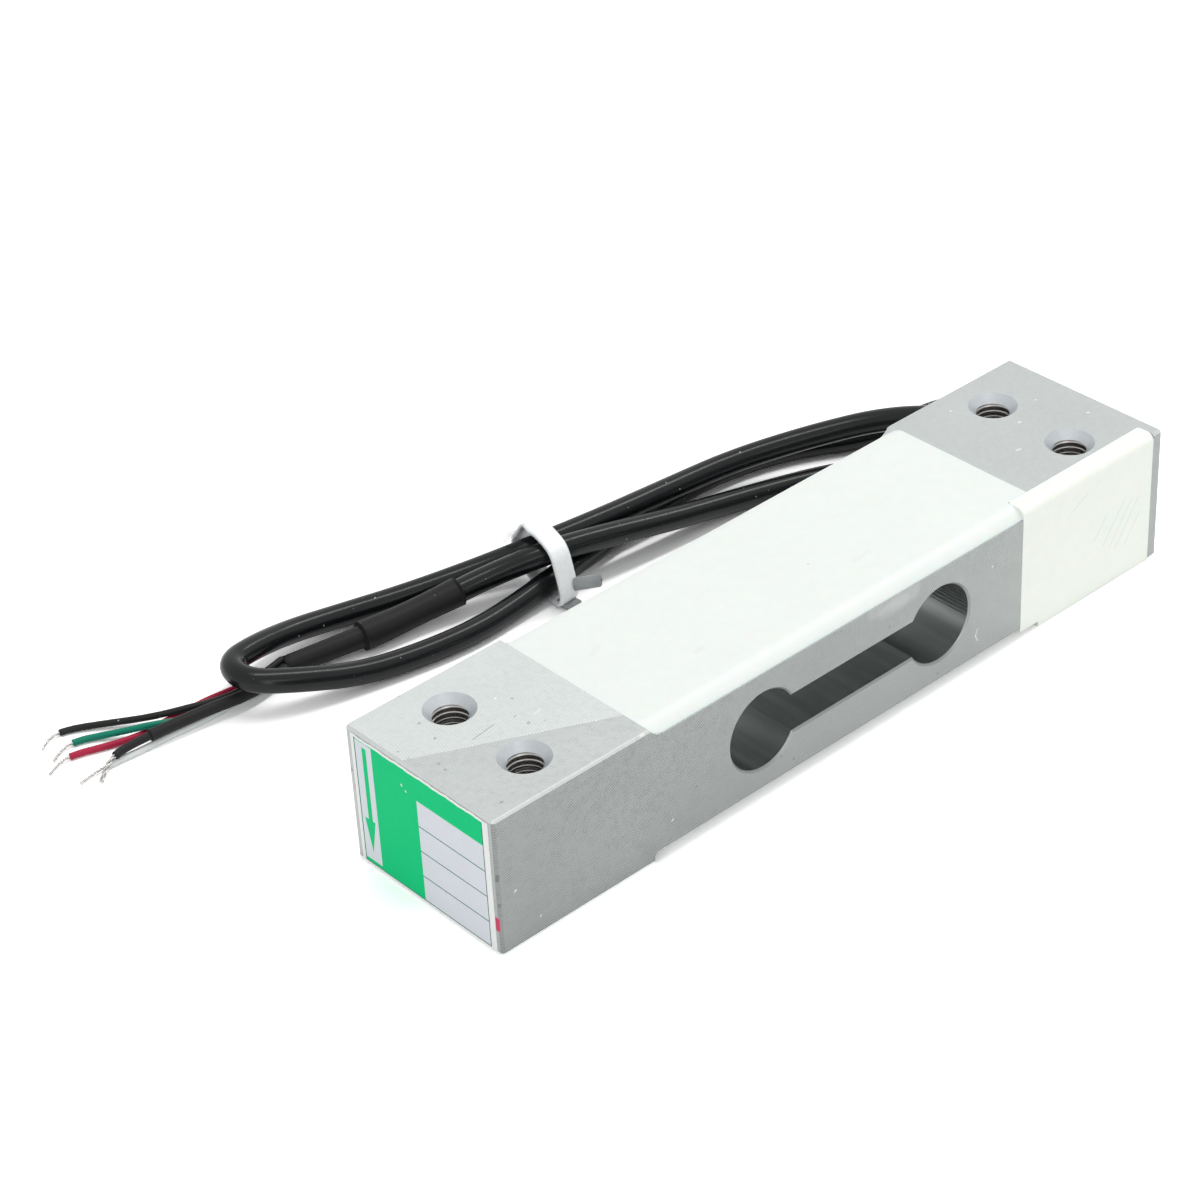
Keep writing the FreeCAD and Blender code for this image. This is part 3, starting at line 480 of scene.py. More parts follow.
SEALANT_STROKES = [
    ((-31.5, 3.2, 21.9), (-29.8, 3.9, 21.9), 0.5, grey(0.6), 0.10),
    ((-21.6, -6.6, 21.9), (-20.4, -6.4, 21.9), 0.5, grey(0.6), 0.12),
    ((9.0, -6.6, 21.9), (12.0, -6.3, 21.9), 0.5, grey(0.6), 0.12),
    ((3.8, -2.5, 21.9), (3.9, -2.5, 21.9), 0.2, (0.6, 0.25, 0.2, 1.0), 0.4),
]
# creases where the sealant was drawn over the pocket, each painted as a line of shade with
# a line of highlight a little above it
CREASES = [
    ((52.5, 7.5), (57.0, 13.5)), ((54.0, 6.5), (58.6, 12.9)), ((55.2, 5.6), (60.2, 12.6)),
    ((57.4, 5.4), (60.6, 9.8)), ((50.6, 9.4), (53.0, 12.6)), ((45.0, 16.6), (48.5, 18.6)),
]
for crease_from, crease_to in CREASES:
    for lift, crease_shade_and_highlight in ((0.0, grey(0.55)), (0.28, WHITE)):
        SEALANT_STROKES.append(((crease_from[0] - lift, -15, crease_from[1] + lift),
                                (crease_to[0] - lift, -15, crease_to[1] + lift), 0.16,
                                crease_shade_and_highlight, 0.22))
LABEL_STROKES = [
    ((-65.1, 3.3, 18.3), (-65.1, 3.2, 18.2), 0.16, WHITE, 0.9),
    ((-65.1, 2.5, 17.7), (-65.1, 2.4, 17.6), 0.13, WHITE, 0.9),
]


def near_pad():
    """Pad at the label end: marks across it, and a second pass that ends on a slant."""
    material, tree, shader, place = start_material("milled_near_pad", 0.38, 1.0)
    straight = cutter_marks(tree, place, FLAT, feed=0.00038, bend=0.0)
    leaning = cutter_marks(tree, place, (0.0, 0.0, 0.2), feed=0.00040, bend=3.0)
    parts = put(tree, "ShaderNodeSeparateXYZ", [(0, place)]).outputs
    # the slanting line runs from the end face's middle to the front of the sealant
    slope = maths(tree, "MULTIPLY_ADD", parts[0], 0.50, parts[1])
    over = maths(tree, "SUBTRACT", slope, 0.0035 - 0.065 * 0.50)
    side = ramp(tree, over, -0.00008, 0.00008)
    marks = blend(tree, side, straight, leaning)
    factor, _height = toned(tree, place, broad=70.0, fine=1500.0, contrast=0.14)
    lines = maths(tree, "MULTIPLY_ADD", marks, 0.055, factor)
    fade = ramp(tree, over, -0.006, 0.0, 0.91, 0.89)
    passes = blend(tree, side, fade, 1.07)
    colour = scaled(tree, cool(0.66), maths(tree, "MULTIPLY", lines, passes))
    ridge = maths(tree, "COMPARE", over, 0.0, 0.00007)
    colour = tint(tree, maths(tree, "MULTIPLY", ridge, 0.4), colour, grey(0.75))
    colour = specked(tree, place, 500.0, 0.14, 0.16, 0.45, colour, grey(0.25))
    colour = marked(tree, place, colour, NEAR_PAD_STROKES)
    dress(tree, shader, colour, marks, 0.00003)
    return material


def sealant(name, colour, waves, wave_scale=60.0):
    """White silicone: soft sheen, slow waves from the spatula, fine grit."""
    material, tree, shader, place = start_material(name, 0.42, 0.0, 0.35)
    shader.inputs["Subsurface Weight"].default_value = 0.15
    shader.inputs["Subsurface Scale"].default_value = 0.001
    factor, _height = toned(tree, place, broad=70.0, fine=500.0, contrast=0.05)
    base = specked(tree, place, 260.0, 0.10, 0.10, 0.3, scaled(tree, colour, factor),
                   (0.62, 0.58, 0.50, 1.0))
    base = marked(tree, place, base, SEALANT_STROKES)
    dress(tree, shader, base, noise(tree, place, wave_scale, 2.0, 0.8), waves)
    return material


def printed(name, colour):
    """Ink on vinyl film, a little uneven."""
    material, tree, shader, place = start_material(name, 0.45, 0.0, 0.3, 1.2)
    factor, height = toned(tree, place, broad=160.0, fine=1800.0, contrast=0.07)
    ink = marked(tree, place, scaled(tree, colour, factor), LABEL_STROKES)
    dress(tree, shader, ink, height, 0.00001)
    return material


def soft_plastic(name, colour, roughness, dust=0.0, dust_colour=grey(0.5), grain=0.00001,
                 contrast=0.12, ior=1.3):
    """Extruded or shrunk plastic skin, with dust where it gathers."""
    material, tree, shader, place = start_material(name, roughness, ior=ior)
    factor, height = toned(tree, place, broad=180.0, fine=1600.0, contrast=contrast)
    base = scaled(tree, colour, factor)
    if dust > 0:
        settled = ramp(tree, noise(tree, place, 110.0), 0.45, 0.6, 0.1, 1.0)
        base = specked(tree, place, 1300.0, 0.16, dust, settled, base, dust_colour)
    rough = maths(tree, "MULTIPLY_ADD", height, 0.16, roughness - 0.08)
    dress(tree, shader, base, height, grain, rough)
    return material


def thin_film(material, opacity):
    """Lets the ground show through a skin."""
    material.node_tree.nodes["Principled BSDF"].inputs["Alpha"].default_value = opacity
    return material


def metal(name, colour, roughness, contrast=0.2):
    """Bare metal of a small part, a little uneven."""
    material, tree, shader, place = start_material(name, roughness, 1.0)
    factor, height = toned(tree, place, broad=300.0, fine=2400.0, contrast=contrast)
    dress(tree, shader, scaled(tree, colour, factor), height, 0.00001)
    return material


def bored():
    """Wire-cut window: darker, streaked across the thickness of the block."""
    material, tree, shader, place = start_material("bored", 0.34, 1.0)
    stretched = put(tree, "ShaderNodeMapping", [("Vector", place),
                                                ("Scale", (1.0, 0.06, 1.0))])
    streaks = noise(tree, stretched.outputs[0], 700.0, 4.0)
    factor = ramp(tree, streaks, 0.3, 0.7, 0.88, 1.12)
    dress(tree, shader, scaled(tree, cool(0.50), factor), streaks, 0.00002)
    return material


# milled takes its tone, plane, feed, bend, relief, contrast, roughness and
# strokes; the others take a colour, and then what their functions name
# the block is one aluminium, its tone set face by face as painted light and shade: the side
# and window rim painted darker, the pads, end, underside and chamfers lighter
MATERIALS = {
    "near_pad": near_pad(),
    "far_pad": milled("milled_far_pad", 0.54, FLAT, 0.00030, 0.0, 0.000006, 0.02, 0.42,
                      FAR_PAD_STROKES),
    "side": milled("milled_side", 0.325, SLANTED, 0.00042, 4.0, 0.00003, 0.20, 0.42,
                   SIDE_STROKES + END_STROKES, fade=0.06),
    "end": milled("milled_end", 0.42, ON_END, 0.00045, 0.0, 0.00001, 0.05, 0.42,
                  END_STROKES),
    "under": milled("milled_under", 0.45, FLAT, 0.00050, 0.0, 0.00001, 0.05, 0.42),
    "edge": milled("chamfer_painted_highlight", 0.62, FLAT, 0.00030, 0.0, 0.000008, 0.03, 0.40,
                   EDGE_HIGHLIGHTS),
    "rim": milled("window_rim", 0.30, ON_SIDE, 0.00030, 0.0, 0.000004, 0.03, 0.50),
    "countersink": metal("countersink", (0.50, 0.53, 0.55, 1.0), 0.46, 0.16),
    "thread": metal("thread", grey(0.46, 0.03), 0.34, 0.15),
    "bored": bored(),
    # the same sealant twice: the pocket's copy is painted lighter, as painted light on the
    # side face where less light falls
    "top_sealant": sealant("top_sealant", (0.81, 0.85, 0.82, 1.0), 0.00012),
    "pocket_sealant": sealant("pocket_sealant", (0.90, 0.94, 0.87, 1.0), 0.0006, 110.0),
    "label_white": printed("label_white", (0.83, 0.86, 0.92, 1.0)),
    "label_border": printed("label_border", WHITE),
    "label_green": printed("label_green", (0.0, 0.68, 0.245, 1.0)),
    "label_line": printed("label_line", (0.0, 0.15, 0.09, 1.0)),
    "cable": soft_plastic("black_pvc", (0.005, 0.0065, 0.007, 1.0), 0.235, 0.16,
                          (0.40, 0.43, 0.45, 1.0), 0.000004, ior=1.36),
    "sleeve": soft_plastic("shrink_sleeve", (0.022, 0.022, 0.023, 1.0), 0.46, 0.05,
                           grey(0.2), 0.00001, ior=1.22),
    "lead_black": soft_plastic("lead_black", (0.020, 0.022, 0.020, 1.0), 0.40, 0.06,
                               ior=1.25),
    "lead_red": soft_plastic("lead_red", (0.42, 0.015, 0.055, 1.0), 0.40),
    "lead_green": soft_plastic("lead_green", (0.003, 0.22, 0.14, 1.0), 0.40),
    "lead_white": soft_plastic("lead_white", (0.80, 0.84, 0.82, 1.0), 0.30, ior=1.5),
    "tinned": metal("tinned_copper", grey(0.50, 0.03), 0.22, 0.35),
    "tie": soft_plastic("tie_plastic", (0.96, 0.99, 1.0, 1.0), 0.28, contrast=0.02,
                        grain=0.000002, ior=1.5),
    "tie_tail": soft_plastic("tie_tail", (0.86, 0.90, 0.95, 1.0), 0.28, contrast=0.02,
                             grain=0.000002, ior=1.5),
    "tie_end": soft_plastic("tie_cut_end", (0.38, 0.40, 0.41, 1.0), 0.40, contrast=0.05,
                            ior=1.5),
    "tie_wire": soft_plastic("tie_wire_end", grey(0.03), 0.5),
    "foil": metal("gauge_foil", (0.62, 0.42, 0.16, 1.0), 0.35),
    "resin": soft_plastic("terminal_resin", (0.45, 0.30, 0.10, 1.0), 0.45),
    "enamel": metal("enamelled_copper", (0.55, 0.22, 0.10, 1.0), 0.3),
    "board": soft_plastic("board_resin", (0.02, 0.16, 0.07, 1.0), 0.4),
    "chip": soft_plastic("resistor_body", grey(0.02), 0.45),
    "solder": metal("solder", grey(0.6), 0.3),
    "core": soft_plastic("core_insulation", (0.45, 0.05, 0.04, 1.0), 0.4),
}


thin_film(MATERIALS["tie_tail"], 0.3)
thin_film(MATERIALS["lead_white"], 0.85)


# -------- mesh helpers
def link(obj, body="root"):
    """Puts a piece into the scene, on the body that it rides."""
    bpy.context.scene.collection.objects.link(obj)
    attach(obj, body)
    return obj


def new_piece(name, vertices, faces, materials, face_slots=None, smooth=True):
    """Piece from its vertices and faces; face_slots gives each face's material."""
    mesh = bpy.data.meshes.new(name)
    mesh.from_pydata([tuple(v) for v in vertices], [], faces)
    for material in materials:
        mesh.materials.append(material)
    if face_slots:
        mesh.polygons.foreach_set("material_index", face_slots)
    if smooth:
        mesh.shade_smooth()
    mesh.update()
    return link(bpy.data.objects.new(name, mesh))


def lay_route(points):
    """Points of the smooth line that a route's control points give."""
    curve = bpy.data.curves.new("route", "CURVE")
    curve.dimensions = "3D"
    curve.resolution_u = 16
    spline = curve.splines.new("NURBS")
    spline.points.add(len(points) - 1)
    for target, point in zip(spline.points, points):
        target.co = (*point, 1.0)
    spline.order_u = 3
    spline.use_endpoint_u = True
    holder = bpy.data.objects.new("route", curve)
    bpy.context.scene.collection.objects.link(holder)
    bpy.context.view_layer.update()
    mesh = bpy.data.meshes.new_from_object(
        holder.evaluated_get(bpy.context.evaluated_depsgraph_get()))
    line = [v.co.copy() for v in mesh.vertices]
    bpy.data.objects.remove(holder)
    bpy.data.meshes.remove(mesh)
    return line


def line_length(line):
    """Length of a line of points."""
    return sum((b - a).length for a, b in zip(line, line[1:]))


def part_of(line, start, end):
    """The stretch of a line between two lengths along it."""
    result = []
    run = 0.0
    for a, b in zip(line, line[1:]):
        step = (b - a).length
        if step == 0:
            continue
        if run <= start < run + step:
            result.append(a.lerp(b, (start - run) / step))
        if start < run + step < end:
            result.append(b.copy())
        if run < end <= run + step:
            result.append(a.lerp(b, (end - run) / step))
            return result
        run += step
    return result


def run_at_x(line, x):
    """Length along a line to the last place where it crosses an X."""
    run = 0.0
    found = 0.0
    for a, b in zip(line, line[1:]):
        step = (b - a).length
        if (a.x - x) * (b.x - x) <= 0 and a.x != b.x:
            found = run + step * (x - a.x) / (b.x - a.x)
        run += step
    return found


def frames_along(line):
    """A tangent and two cross directions at each point, carried without twist."""
    tangents = []
    for i, _point in enumerate(line):
        before = line[max(i - 1, 0)]
        after = line[min(i + 1, len(line) - 1)]
        tangents.append((after - before).normalized())
    across = tangents[0].cross(Vector((0, 0, 1))).normalized()
    result = []
    for tangent in tangents:
        across = (across - tangent * across.dot(tangent)).normalized()
        result.append((tangent, across, tangent.cross(across)))
    return result


def tube(name, line, radius, material, sides=24, end_round=0.25, wobble=0.0, seed=1):
    """Closed round tube along a line; radius is a number or a function of the share run."""
    rng = random.Random(seed)
    total = line_length(line)
    vertices = []
    faces = []
    run = 0.0
    frames = frames_along(line)
    rings = []
    for i, point in enumerate(line):
        if i:
            run += (point - line[i - 1]).length
        r = radius(run / total) if callable(radius) else radius
        rings.append((point, frames[i], r * (1 + wobble * (rng.random() - 0.5))))
    # each end is a narrower ring, with the full one set back behind it
    point, axes, r = rings[0]
    lip = end_round * r
    rings[:1] = [(point, axes, r - lip), (point + axes[0] * lip, axes, r)]
    point, axes, r = rings[-1]
    lip = end_round * r
    rings[-1:] = [(point - axes[0] * lip, axes, r), (point, axes, r - lip)]
    for point, (_tangent, across, up), r in rings:
        for k in range(sides):
            angle = 2 * math.pi * k / sides
            vertices.append(point + (across * math.cos(angle) + up * math.sin(angle)) * r)
    for i in range(len(rings) - 1):
        for k in range(sides):
            a = i * sides + k
            b = i * sides + (k + 1) % sides
            faces.append((a, b, b + sides, a + sides))
    faces.append(tuple(range(sides))[::-1])
    faces.append(tuple(len(vertices) - sides + k for k in range(sides)))
    return new_piece(name, vertices, faces, [material])


def mesh_from(shape, name, materials):
    """Mesh with its materials, from a shape that isn't used again."""
    mesh = bpy.data.meshes.new(name)
    shape.to_mesh(mesh)
    shape.free()
    # corner normals that came with a solid no longer fit once it is reshaped
    old_normals = mesh.attributes.get("custom_normal")
    if old_normals:
        mesh.attributes.remove(old_normals)
    for material in materials:
        mesh.materials.append(material)
    return mesh


def merge(name, pieces):
    """One mesh from several pieces, each keeping its materials; the pieces go away."""
    shape = bmesh.new()
    materials = []
    for piece in pieces:
        for material in piece.data.materials:
            if material not in materials:
                materials.append(material)
        before = len(shape.faces)
        shape.from_mesh(piece.data)
        shape.faces.ensure_lookup_table()
        for face in shape.faces[before:]:
            face.material_index = materials.index(piece.data.materials[face.material_index])
        bpy.data.objects.remove(piece)
    mesh = mesh_from(shape, name, materials)
    mesh.shade_smooth()
    return mesh


def slab(name, low, high, material, bevel=0.12):
    """Box with softened edges, in millimetres."""
    shape = bmesh.new()
    bmesh.ops.create_cube(shape, size=1.0)
    low, high = Vector(low), Vector(high)
    for vertex in shape.verts:
        share = vertex.co + Vector((0.5, 0.5, 0.5))
        vertex.co = low + Vector((share[k] * (high - low)[k] for k in range(3)))
    bmesh.ops.bevel(shape, geom=shape.edges[:], offset=bevel, segments=2, affect="EDGES")
    shape.transform(Matrix.Scale(MM, 4))
    return link(bpy.data.objects.new(name, mesh_from(shape, name, [material])))


# -------- block
def face_material(centre, normal):
    """Which finish a face of the block has, from its place and direction."""
    x, y, z = centre / MM
    for hole_x, hole_y in HOLES:
        away = math.hypot(x - hole_x / MM, y - hole_y / MM)
        if away < COUNTERSINK_REACH and abs(normal.z) < LEVEL:
            return "countersink"
    if abs(normal.z) > SQUARE:
        if z > PAD_FROM:
            return "near_pad" if x < 0 else "far_pad"
        return "bored" if WINDOW_LEVELS[0] < z < WINDOW_LEVELS[1] else "under"
    if abs(normal.y) > SQUARE:
        return "side"
    if abs(normal.x) > SQUARE:
        return "end" if abs(x) > END_FROM else "side"
    if abs(x) < WINDOW_HALF and WINDOW_WALLS[0] < z < WINDOW_WALLS[1]:
        return "bored" if abs(normal.y) < SIDEWAYS else "rim"
    if math.hypot(x - BORE_AT[0], z - BORE_AT[1]) < BORE_REACH:
        return "bored"
    if abs(normal.z) < SIDEWAYS:
        return "end" if x < -END_FROM and y > 0 else "side"
    return "edge"


def cut_holes_wider(shape):
    """Takes away the plain walls of the tapped holes."""
    walls = []
    for face in shape.faces:
        for x, y in HOLES:
            if all(abs(math.hypot(v.co.x - x, v.co.y - y) - TAP_MINOR) < ON_WALL
                   for v in face.verts):
                walls.append(face)
                break
    bmesh.ops.delete(shape, geom=walls, context="FACES")


def rim_of(shape, x, y, z):
    """Vertices where a tapped hole's plain wall met its countersink, in turn."""
    rim = {v for edge in shape.edges if edge.is_boundary for v in edge.verts
           if abs(v.co.z - z) < ON_RIM_HEIGHT
           and math.hypot(v.co.x - x, v.co.y - y) < TAP_MINOR + ON_RIM_REACH}
    return sorted(rim, key=lambda v: math.atan2(v.co.y - y, v.co.x - x))


def hole_wall(shape, x, y, slot):
    """Wall at the thread's root, built on the rims of the two countersinks."""
    step = TAP_MAJOR - TAP_MINOR
    low = COUNTERSINK_DEPTH
    high = BLOCK_HIGH.z - COUNTERSINK_DEPTH
    bottom, top = rim_of(shape, x, y, low), rim_of(shape, x, y, high)
    sides = len(bottom)
    if sides < FEWEST_SIDES or sides != len(top):
        raise ValueError("the two rims of a tapped hole differ: %d, %d" % (sides, len(top)))
    wider = TAP_MAJOR / TAP_MINOR
    rings = [bottom]
    for rim, z in ((bottom, low + step), (top, high - step)):
        rings.append([shape.verts.new((x + (v.co.x - x) * wider,
                                       y + (v.co.y - y) * wider, z)) for v in rim])
    rings.append(top)
    for a, b in zip(rings, rings[1:]):
        for k in range(sides):
            m = (k + 1) % sides
            face = shape.faces.new((a[k], b[k], b[m], a[m]))
            face.material_index = slot
            face.smooth = True
    for rim in (bottom, top):
        for k in range(sides):
            shape.edges.get((rim[k], rim[(k + 1) % sides])).smooth = False


def make_block():
    """Milled block, its faces finished one by one, with the tapped holes opened."""
    source = bpy.data.objects["spring_element"]
    shape = bmesh.new()
    shape.from_mesh(source.data)
    bmesh.ops.remove_doubles(shape, verts=shape.verts, dist=WELD_BLOCK)
    cut_holes_wider(shape)
    names = ["side", "near_pad", "far_pad", "end", "under", "edge", "rim", "countersink",
             "bored", "thread"]
    for face in shape.faces:
        kind = face_material(face.calc_center_median(), face.normal)
        face.material_index = names.index(kind)
        face.smooth = kind in ("countersink", "bored", "rim", "edge")
    for edge in shape.edges:
        if len(edge.link_faces) == 2 and edge.calc_face_angle(0.0) > SHARP:
            edge.smooth = False
    for x, y in HOLES:
        hole_wall(shape, x, y, names.index("thread"))
    mesh = mesh_from(shape, "milled_block", [MATERIALS[name] for name in names])
    block = link(bpy.data.objects.new("milled_block", mesh))
    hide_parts("spring_element")
    return block


def make_thread_tree():
    """Geometry nodes: a ridge on a helix, placed at each tapped hole."""
    tree = bpy.data.node_groups.new("thread_ridges", "GeometryNodeTree")
    tree.interface.new_socket("Holes", in_out="INPUT", socket_type="NodeSocketGeometry")
    for label, value in (("Root Radius", TAP_MAJOR), ("Pitch", TAP_PITCH),
                         ("Length", 0.018), ("Ridge", TAP_MAJOR - TAP_MINOR)):
        socket = tree.interface.new_socket(label, in_out="INPUT",
                                           socket_type="NodeSocketFloat")
        socket.default_value = value
    tree.interface.new_socket("Ridges", in_out="OUTPUT", socket_type="NodeSocketGeometry")
    given = tree.nodes.new("NodeGroupInput").outputs
    turns = maths(tree, "DIVIDE", given["Length"], given["Pitch"])
    helix = put(tree, "GeometryNodeCurveSpiral",
                [("Resolution", THREAD_SIDES), ("Rotations", turns),
                 ("Start Radius", given["Root Radius"]),
                 ("End Radius", given["Root Radius"]), ("Height", given["Length"])])
    half = maths(tree, "MULTIPLY", given["Pitch"], RIDGE_ROOT)
    corners = [put(tree, "ShaderNodeCombineXYZ",
                   [(0, x), (1, maths(tree, "MULTIPLY", half, share))])
               for x, share in ((0.0, 1.0), (given["Ridge"], RIDGE_CREST),
                                (given["Ridge"], -RIDGE_CREST), (0.0, -1.0))]
    profile = put(tree, "GeometryNodeCurvePrimitiveQuadrilateral", mode="POINTS",
                  inputs=[("Point %d" % (i + 1), c.outputs[0])
                          for i, c in enumerate(corners)])
    ridge = put(tree, "GeometryNodeCurveToMesh", [("Curve", helix.outputs[0]),
                                                  ("Profile Curve", profile.outputs[0]),
                                                  ("Fill Caps", True)])
    placed = put(tree, "GeometryNodeInstanceOnPoints", [("Points", given["Holes"]),
                                                        ("Instance", ridge.outputs[0])])
    solid = put(tree, "GeometryNodeRealizeInstances", [("Geometry", placed.outputs[0])])
    coat = put(tree, "GeometryNodeSetMaterial", [("Geometry", solid.outputs[0]),
                                                 ("Material", MATERIALS["thread"])])
    result = tree.nodes.new("NodeGroupOutput")
    tree.links.new(coat.outputs[0], result.inputs[0])
    return tree


def applied(obj, name):
    """Plain mesh from an object with live modifiers; the object goes away."""
    bpy.context.view_layer.update()
    evaluated = obj.evaluated_get(bpy.context.evaluated_depsgraph_get())
    mesh = bpy.data.meshes.new_from_object(evaluated)
    mesh.name = name
    bpy.data.objects.remove(obj)
    return mesh


def make_threads():
    """The helical ridges of the four tapped holes."""
    start = BLOCK_LOW.z + COUNTERSINK_DEPTH + THREAD_INSET
    points = bpy.data.meshes.new("tapped_holes")
    points.from_pydata([(x, y, start) for x, y in HOLES], [], [])
    holder = bpy.data.objects.new("tapped_holes", points)
    bpy.context.scene.collection.objects.link(holder)
    modifier = holder.modifiers.new("ridges", "NODES")
    modifier.node_group = make_thread_tree()
    length = BLOCK_HIGH.z - 2 * start
    for item in modifier.node_group.interface.items_tree:
        if item.name == "Length" and item.in_out == "INPUT":
            modifier[item.identifier] = length
    mesh = applied(holder, "thread_ridges")
    shape = bmesh.new()
    shape.from_mesh(mesh)
    bmesh.ops.remove_doubles(shape, verts=shape.verts, dist=WELD_THREAD)
    bmesh.ops.recalc_face_normals(shape, faces=shape.faces)
    shape.to_mesh(mesh)
    shape.free()
    threads = link(bpy.data.objects.new("thread_ridges", mesh))
    return threads


# -------- label
# printed fields in millimetres: from and to across the label, then up it
FIELD = (-13.0, 12.85, 0.62, 21.15)
COLUMN = (9.3, 12.66, 1.3, 20.95)
PANEL = (-12.95, 0.35, 0.72, 17.25)
PANEL_ROWS = (4.8, 8.95, 13.07)
LINE = 0.15
ARROW_SHAFT = (10.42, 11.3, 8.25, 20.2)
ARROW_HEAD = ((12.1, 8.25), (9.9, 8.25), (11.0, 2.75))
# how far the arrow's head stands before the film, and the widest step across it
ARROW_LIFT = 0.004
LABEL_STEP = 0.45


def inside(y, z, box):
    """Whether a place is in a field."""
    return box[0] < y < box[1] and box[2] < z < box[3]


def label_ink(y, z):
    """Colour of the label at a place on it: across, and up, in millimetres."""
    if not inside(y, z, FIELD):
        return "label_border"
    low_y, high_y, low_z, _high_z = FIELD
    if y < low_y + LINE or y > high_y - LINE or z < low_z + LINE:
        return "label_line"
    if inside(y, z, COLUMN):
        return "label_green" if inside(y, z, ARROW_SHAFT) else "label_white"
    if inside(y, z, PANEL):
        if any(abs(z - row) < LINE / 2 for row in PANEL_ROWS):
            return "label_line"
        return "label_white"
    return "label_green"


def make_label():
    """Film with printed fields, as a grid whose lines lie on the fields' edges."""
    low, high = [Vector(corner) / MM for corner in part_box("end_label")]
    names = ["label_border", "label_line", "label_green", "label_white"]
    ys = {low.y, high.y, FIELD[0], FIELD[1], FIELD[0] + LINE, FIELD[1] - LINE,
          *COLUMN[:2], *PANEL[:2], *ARROW_SHAFT[:2]}
    zs = {low.z, high.z, FIELD[2], FIELD[3], FIELD[2] + LINE, *COLUMN[2:], *PANEL[2:],
          *ARROW_SHAFT[2:]}
    for row in PANEL_ROWS:
        zs |= {row - LINE / 2, row + LINE / 2}
    across = low.y
    while across < high.y:
        ys.add(round(across, 3))
        across += LABEL_STEP
    ys, zs = sorted(ys), sorted(zs)
    vertices, faces, slots = [], [], []
    for y in ys:
        # the top edge was cut a little unevenly
        ragged = -0.06 - 0.05 * math.sin(y * 1.3) - 0.03 * math.sin(y * 3.7 + 1.0)
        for z in zs:
            lift = ragged if z in (high.z, FIELD[3]) else 0.0
            vertices.append(Vector((low.x, y, z + lift)) * MM)
    rows = len(zs)
    for i in range(len(ys) - 1):
        for k in range(rows - 1):
            a = i * rows + k
            faces.append((a, a + 1, a + rows + 1, a + rows))
            ink = label_ink((ys[i] + ys[i + 1]) / 2, (zs[k] + zs[k + 1]) / 2)
            slots.append(names.index(ink))
    base = len(vertices)
    head = [Vector((low.x - ARROW_LIFT, y, z)) * MM for y, z in ARROW_HEAD]
    vertices += head
    faces.append((base, base + 2, base + 1))
    slots.append(names.index("label_green"))
    label = new_piece("end_film", vertices, faces, [MATERIALS[n] for n in names], slots,
                      smooth=False)
    solid = label.modifiers.new("film", "SOLIDIFY")
    solid.thickness = (high.x - low.x) * MM
    solid.offset = -1.0
    mesh = applied(label, "end_film")
    label = link(bpy.data.objects.new("end_film", mesh))
    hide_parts("end_label")
    return label


# -------- cable and leads
def make_cable():
    """Jacketed cable on its whole path, and the two shrink sleeves on its end."""
    line = lay_route(CABLE_ROUTE)
    total = line_length(line)
    jacket_end = run_at_x(line, JACKET_END_X)
    sleeve_start, sleeve_end = [run_at_x(line, x) for x in OUTER_SLEEVE_X]
    jacket = part_of(line, 0.0, jacket_end)
    cable = tube("cable_jacket", jacket, CABLE_RADIUS, MATERIALS["cable"], 32, 0.1)
    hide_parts("cable")

    def outer_radius(share):
        """Shrunk on: a soft neck, then a collar where it steps down."""
        neck = math.sin(math.pi * min(share / 0.85, 1.0)) * 0.16 * MM
        return OUTER_SLEEVE_RADIUS - 0.03 * MM - neck

    outer = tube("outer_shrink", part_of(line, sleeve_start, sleeve_end), outer_radius,
                 MATERIALS["sleeve"], 32, 0.10, 0.004, 5)
    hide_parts("outer_sleeve")

    def inner_radius(share):
        """Even at first, then narrowing to its end."""
        return INNER_SLEEVE_RADIUS - 0.3 * MM * max(0.0, share - 0.45)

    inner = tube("inner_shrink", part_of(line, jacket_end + 0.0005, total), inner_radius,
                 MATERIALS["sleeve"], 32, 0.15, 0.004, 6)
    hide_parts("inner_sleeve")
    return cable, jacket, outer, inner


def strand_bundle(name, line, strands, bundle, strand, turn, spread, material):
    """Twisted bare strands along a line, opening out a little at the end."""
    frames = frames_along(line)
    total = line_length(line)
    pieces = []
    for s in range(strands):
        points = []
        run = 0.0
        for i, point in enumerate(line):
            if i:
                run += (point - line[i - 1]).length
            share = run / total
            angle = 2 * math.pi * (s / strands + run / turn)
            _tangent, across, up = frames[i]
            r = (bundle - strand) * (1 + spread * max(0.0, share - 0.6))
            points.append(point + (across * math.cos(angle) + up * math.sin(angle)) * r)
        pieces.append(tube("%s_%d" % (name, s), points, strand, material, 8))
    mesh = merge(name, pieces)
    return link(bpy.data.objects.new(name, mesh))


def tie_place():
    """Where the tie's own axes lie in the frame."""
    return (Matrix.Translation(Vector((TIE_AT[0], TIE_AT[1], 0)) * MM)
            @ Matrix.Rotation(-math.radians(TIE_YAW), 4, "Z"))


def make_leads():
    """Four insulated leads with tinned tips."""
    for seed, (colour, route) in enumerate(LEAD_ROUTES.items()):
        line = lay_route(route)
        total = line_length(line)
        strip = total - TIP_LENGTH[colour]
        covered = part_of(line, 0.0, strip)
        lead = tube("insulation_" + colour, covered, LEAD_RADIUS,
                    MATERIALS["lead_" + colour], 20, 0.15, 0.05, seed)
        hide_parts("lead_" + colour)
        tip = strand_bundle("tinned_tip_" + colour, part_of(line, strip - 0.0004, total), 4,
                            0.75 * CONDUCTOR_RADIUS, 0.1 * MM, 5.0 * MM, 0.1,
                            MATERIALS["tinned"])
        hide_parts("tip_" + colour)


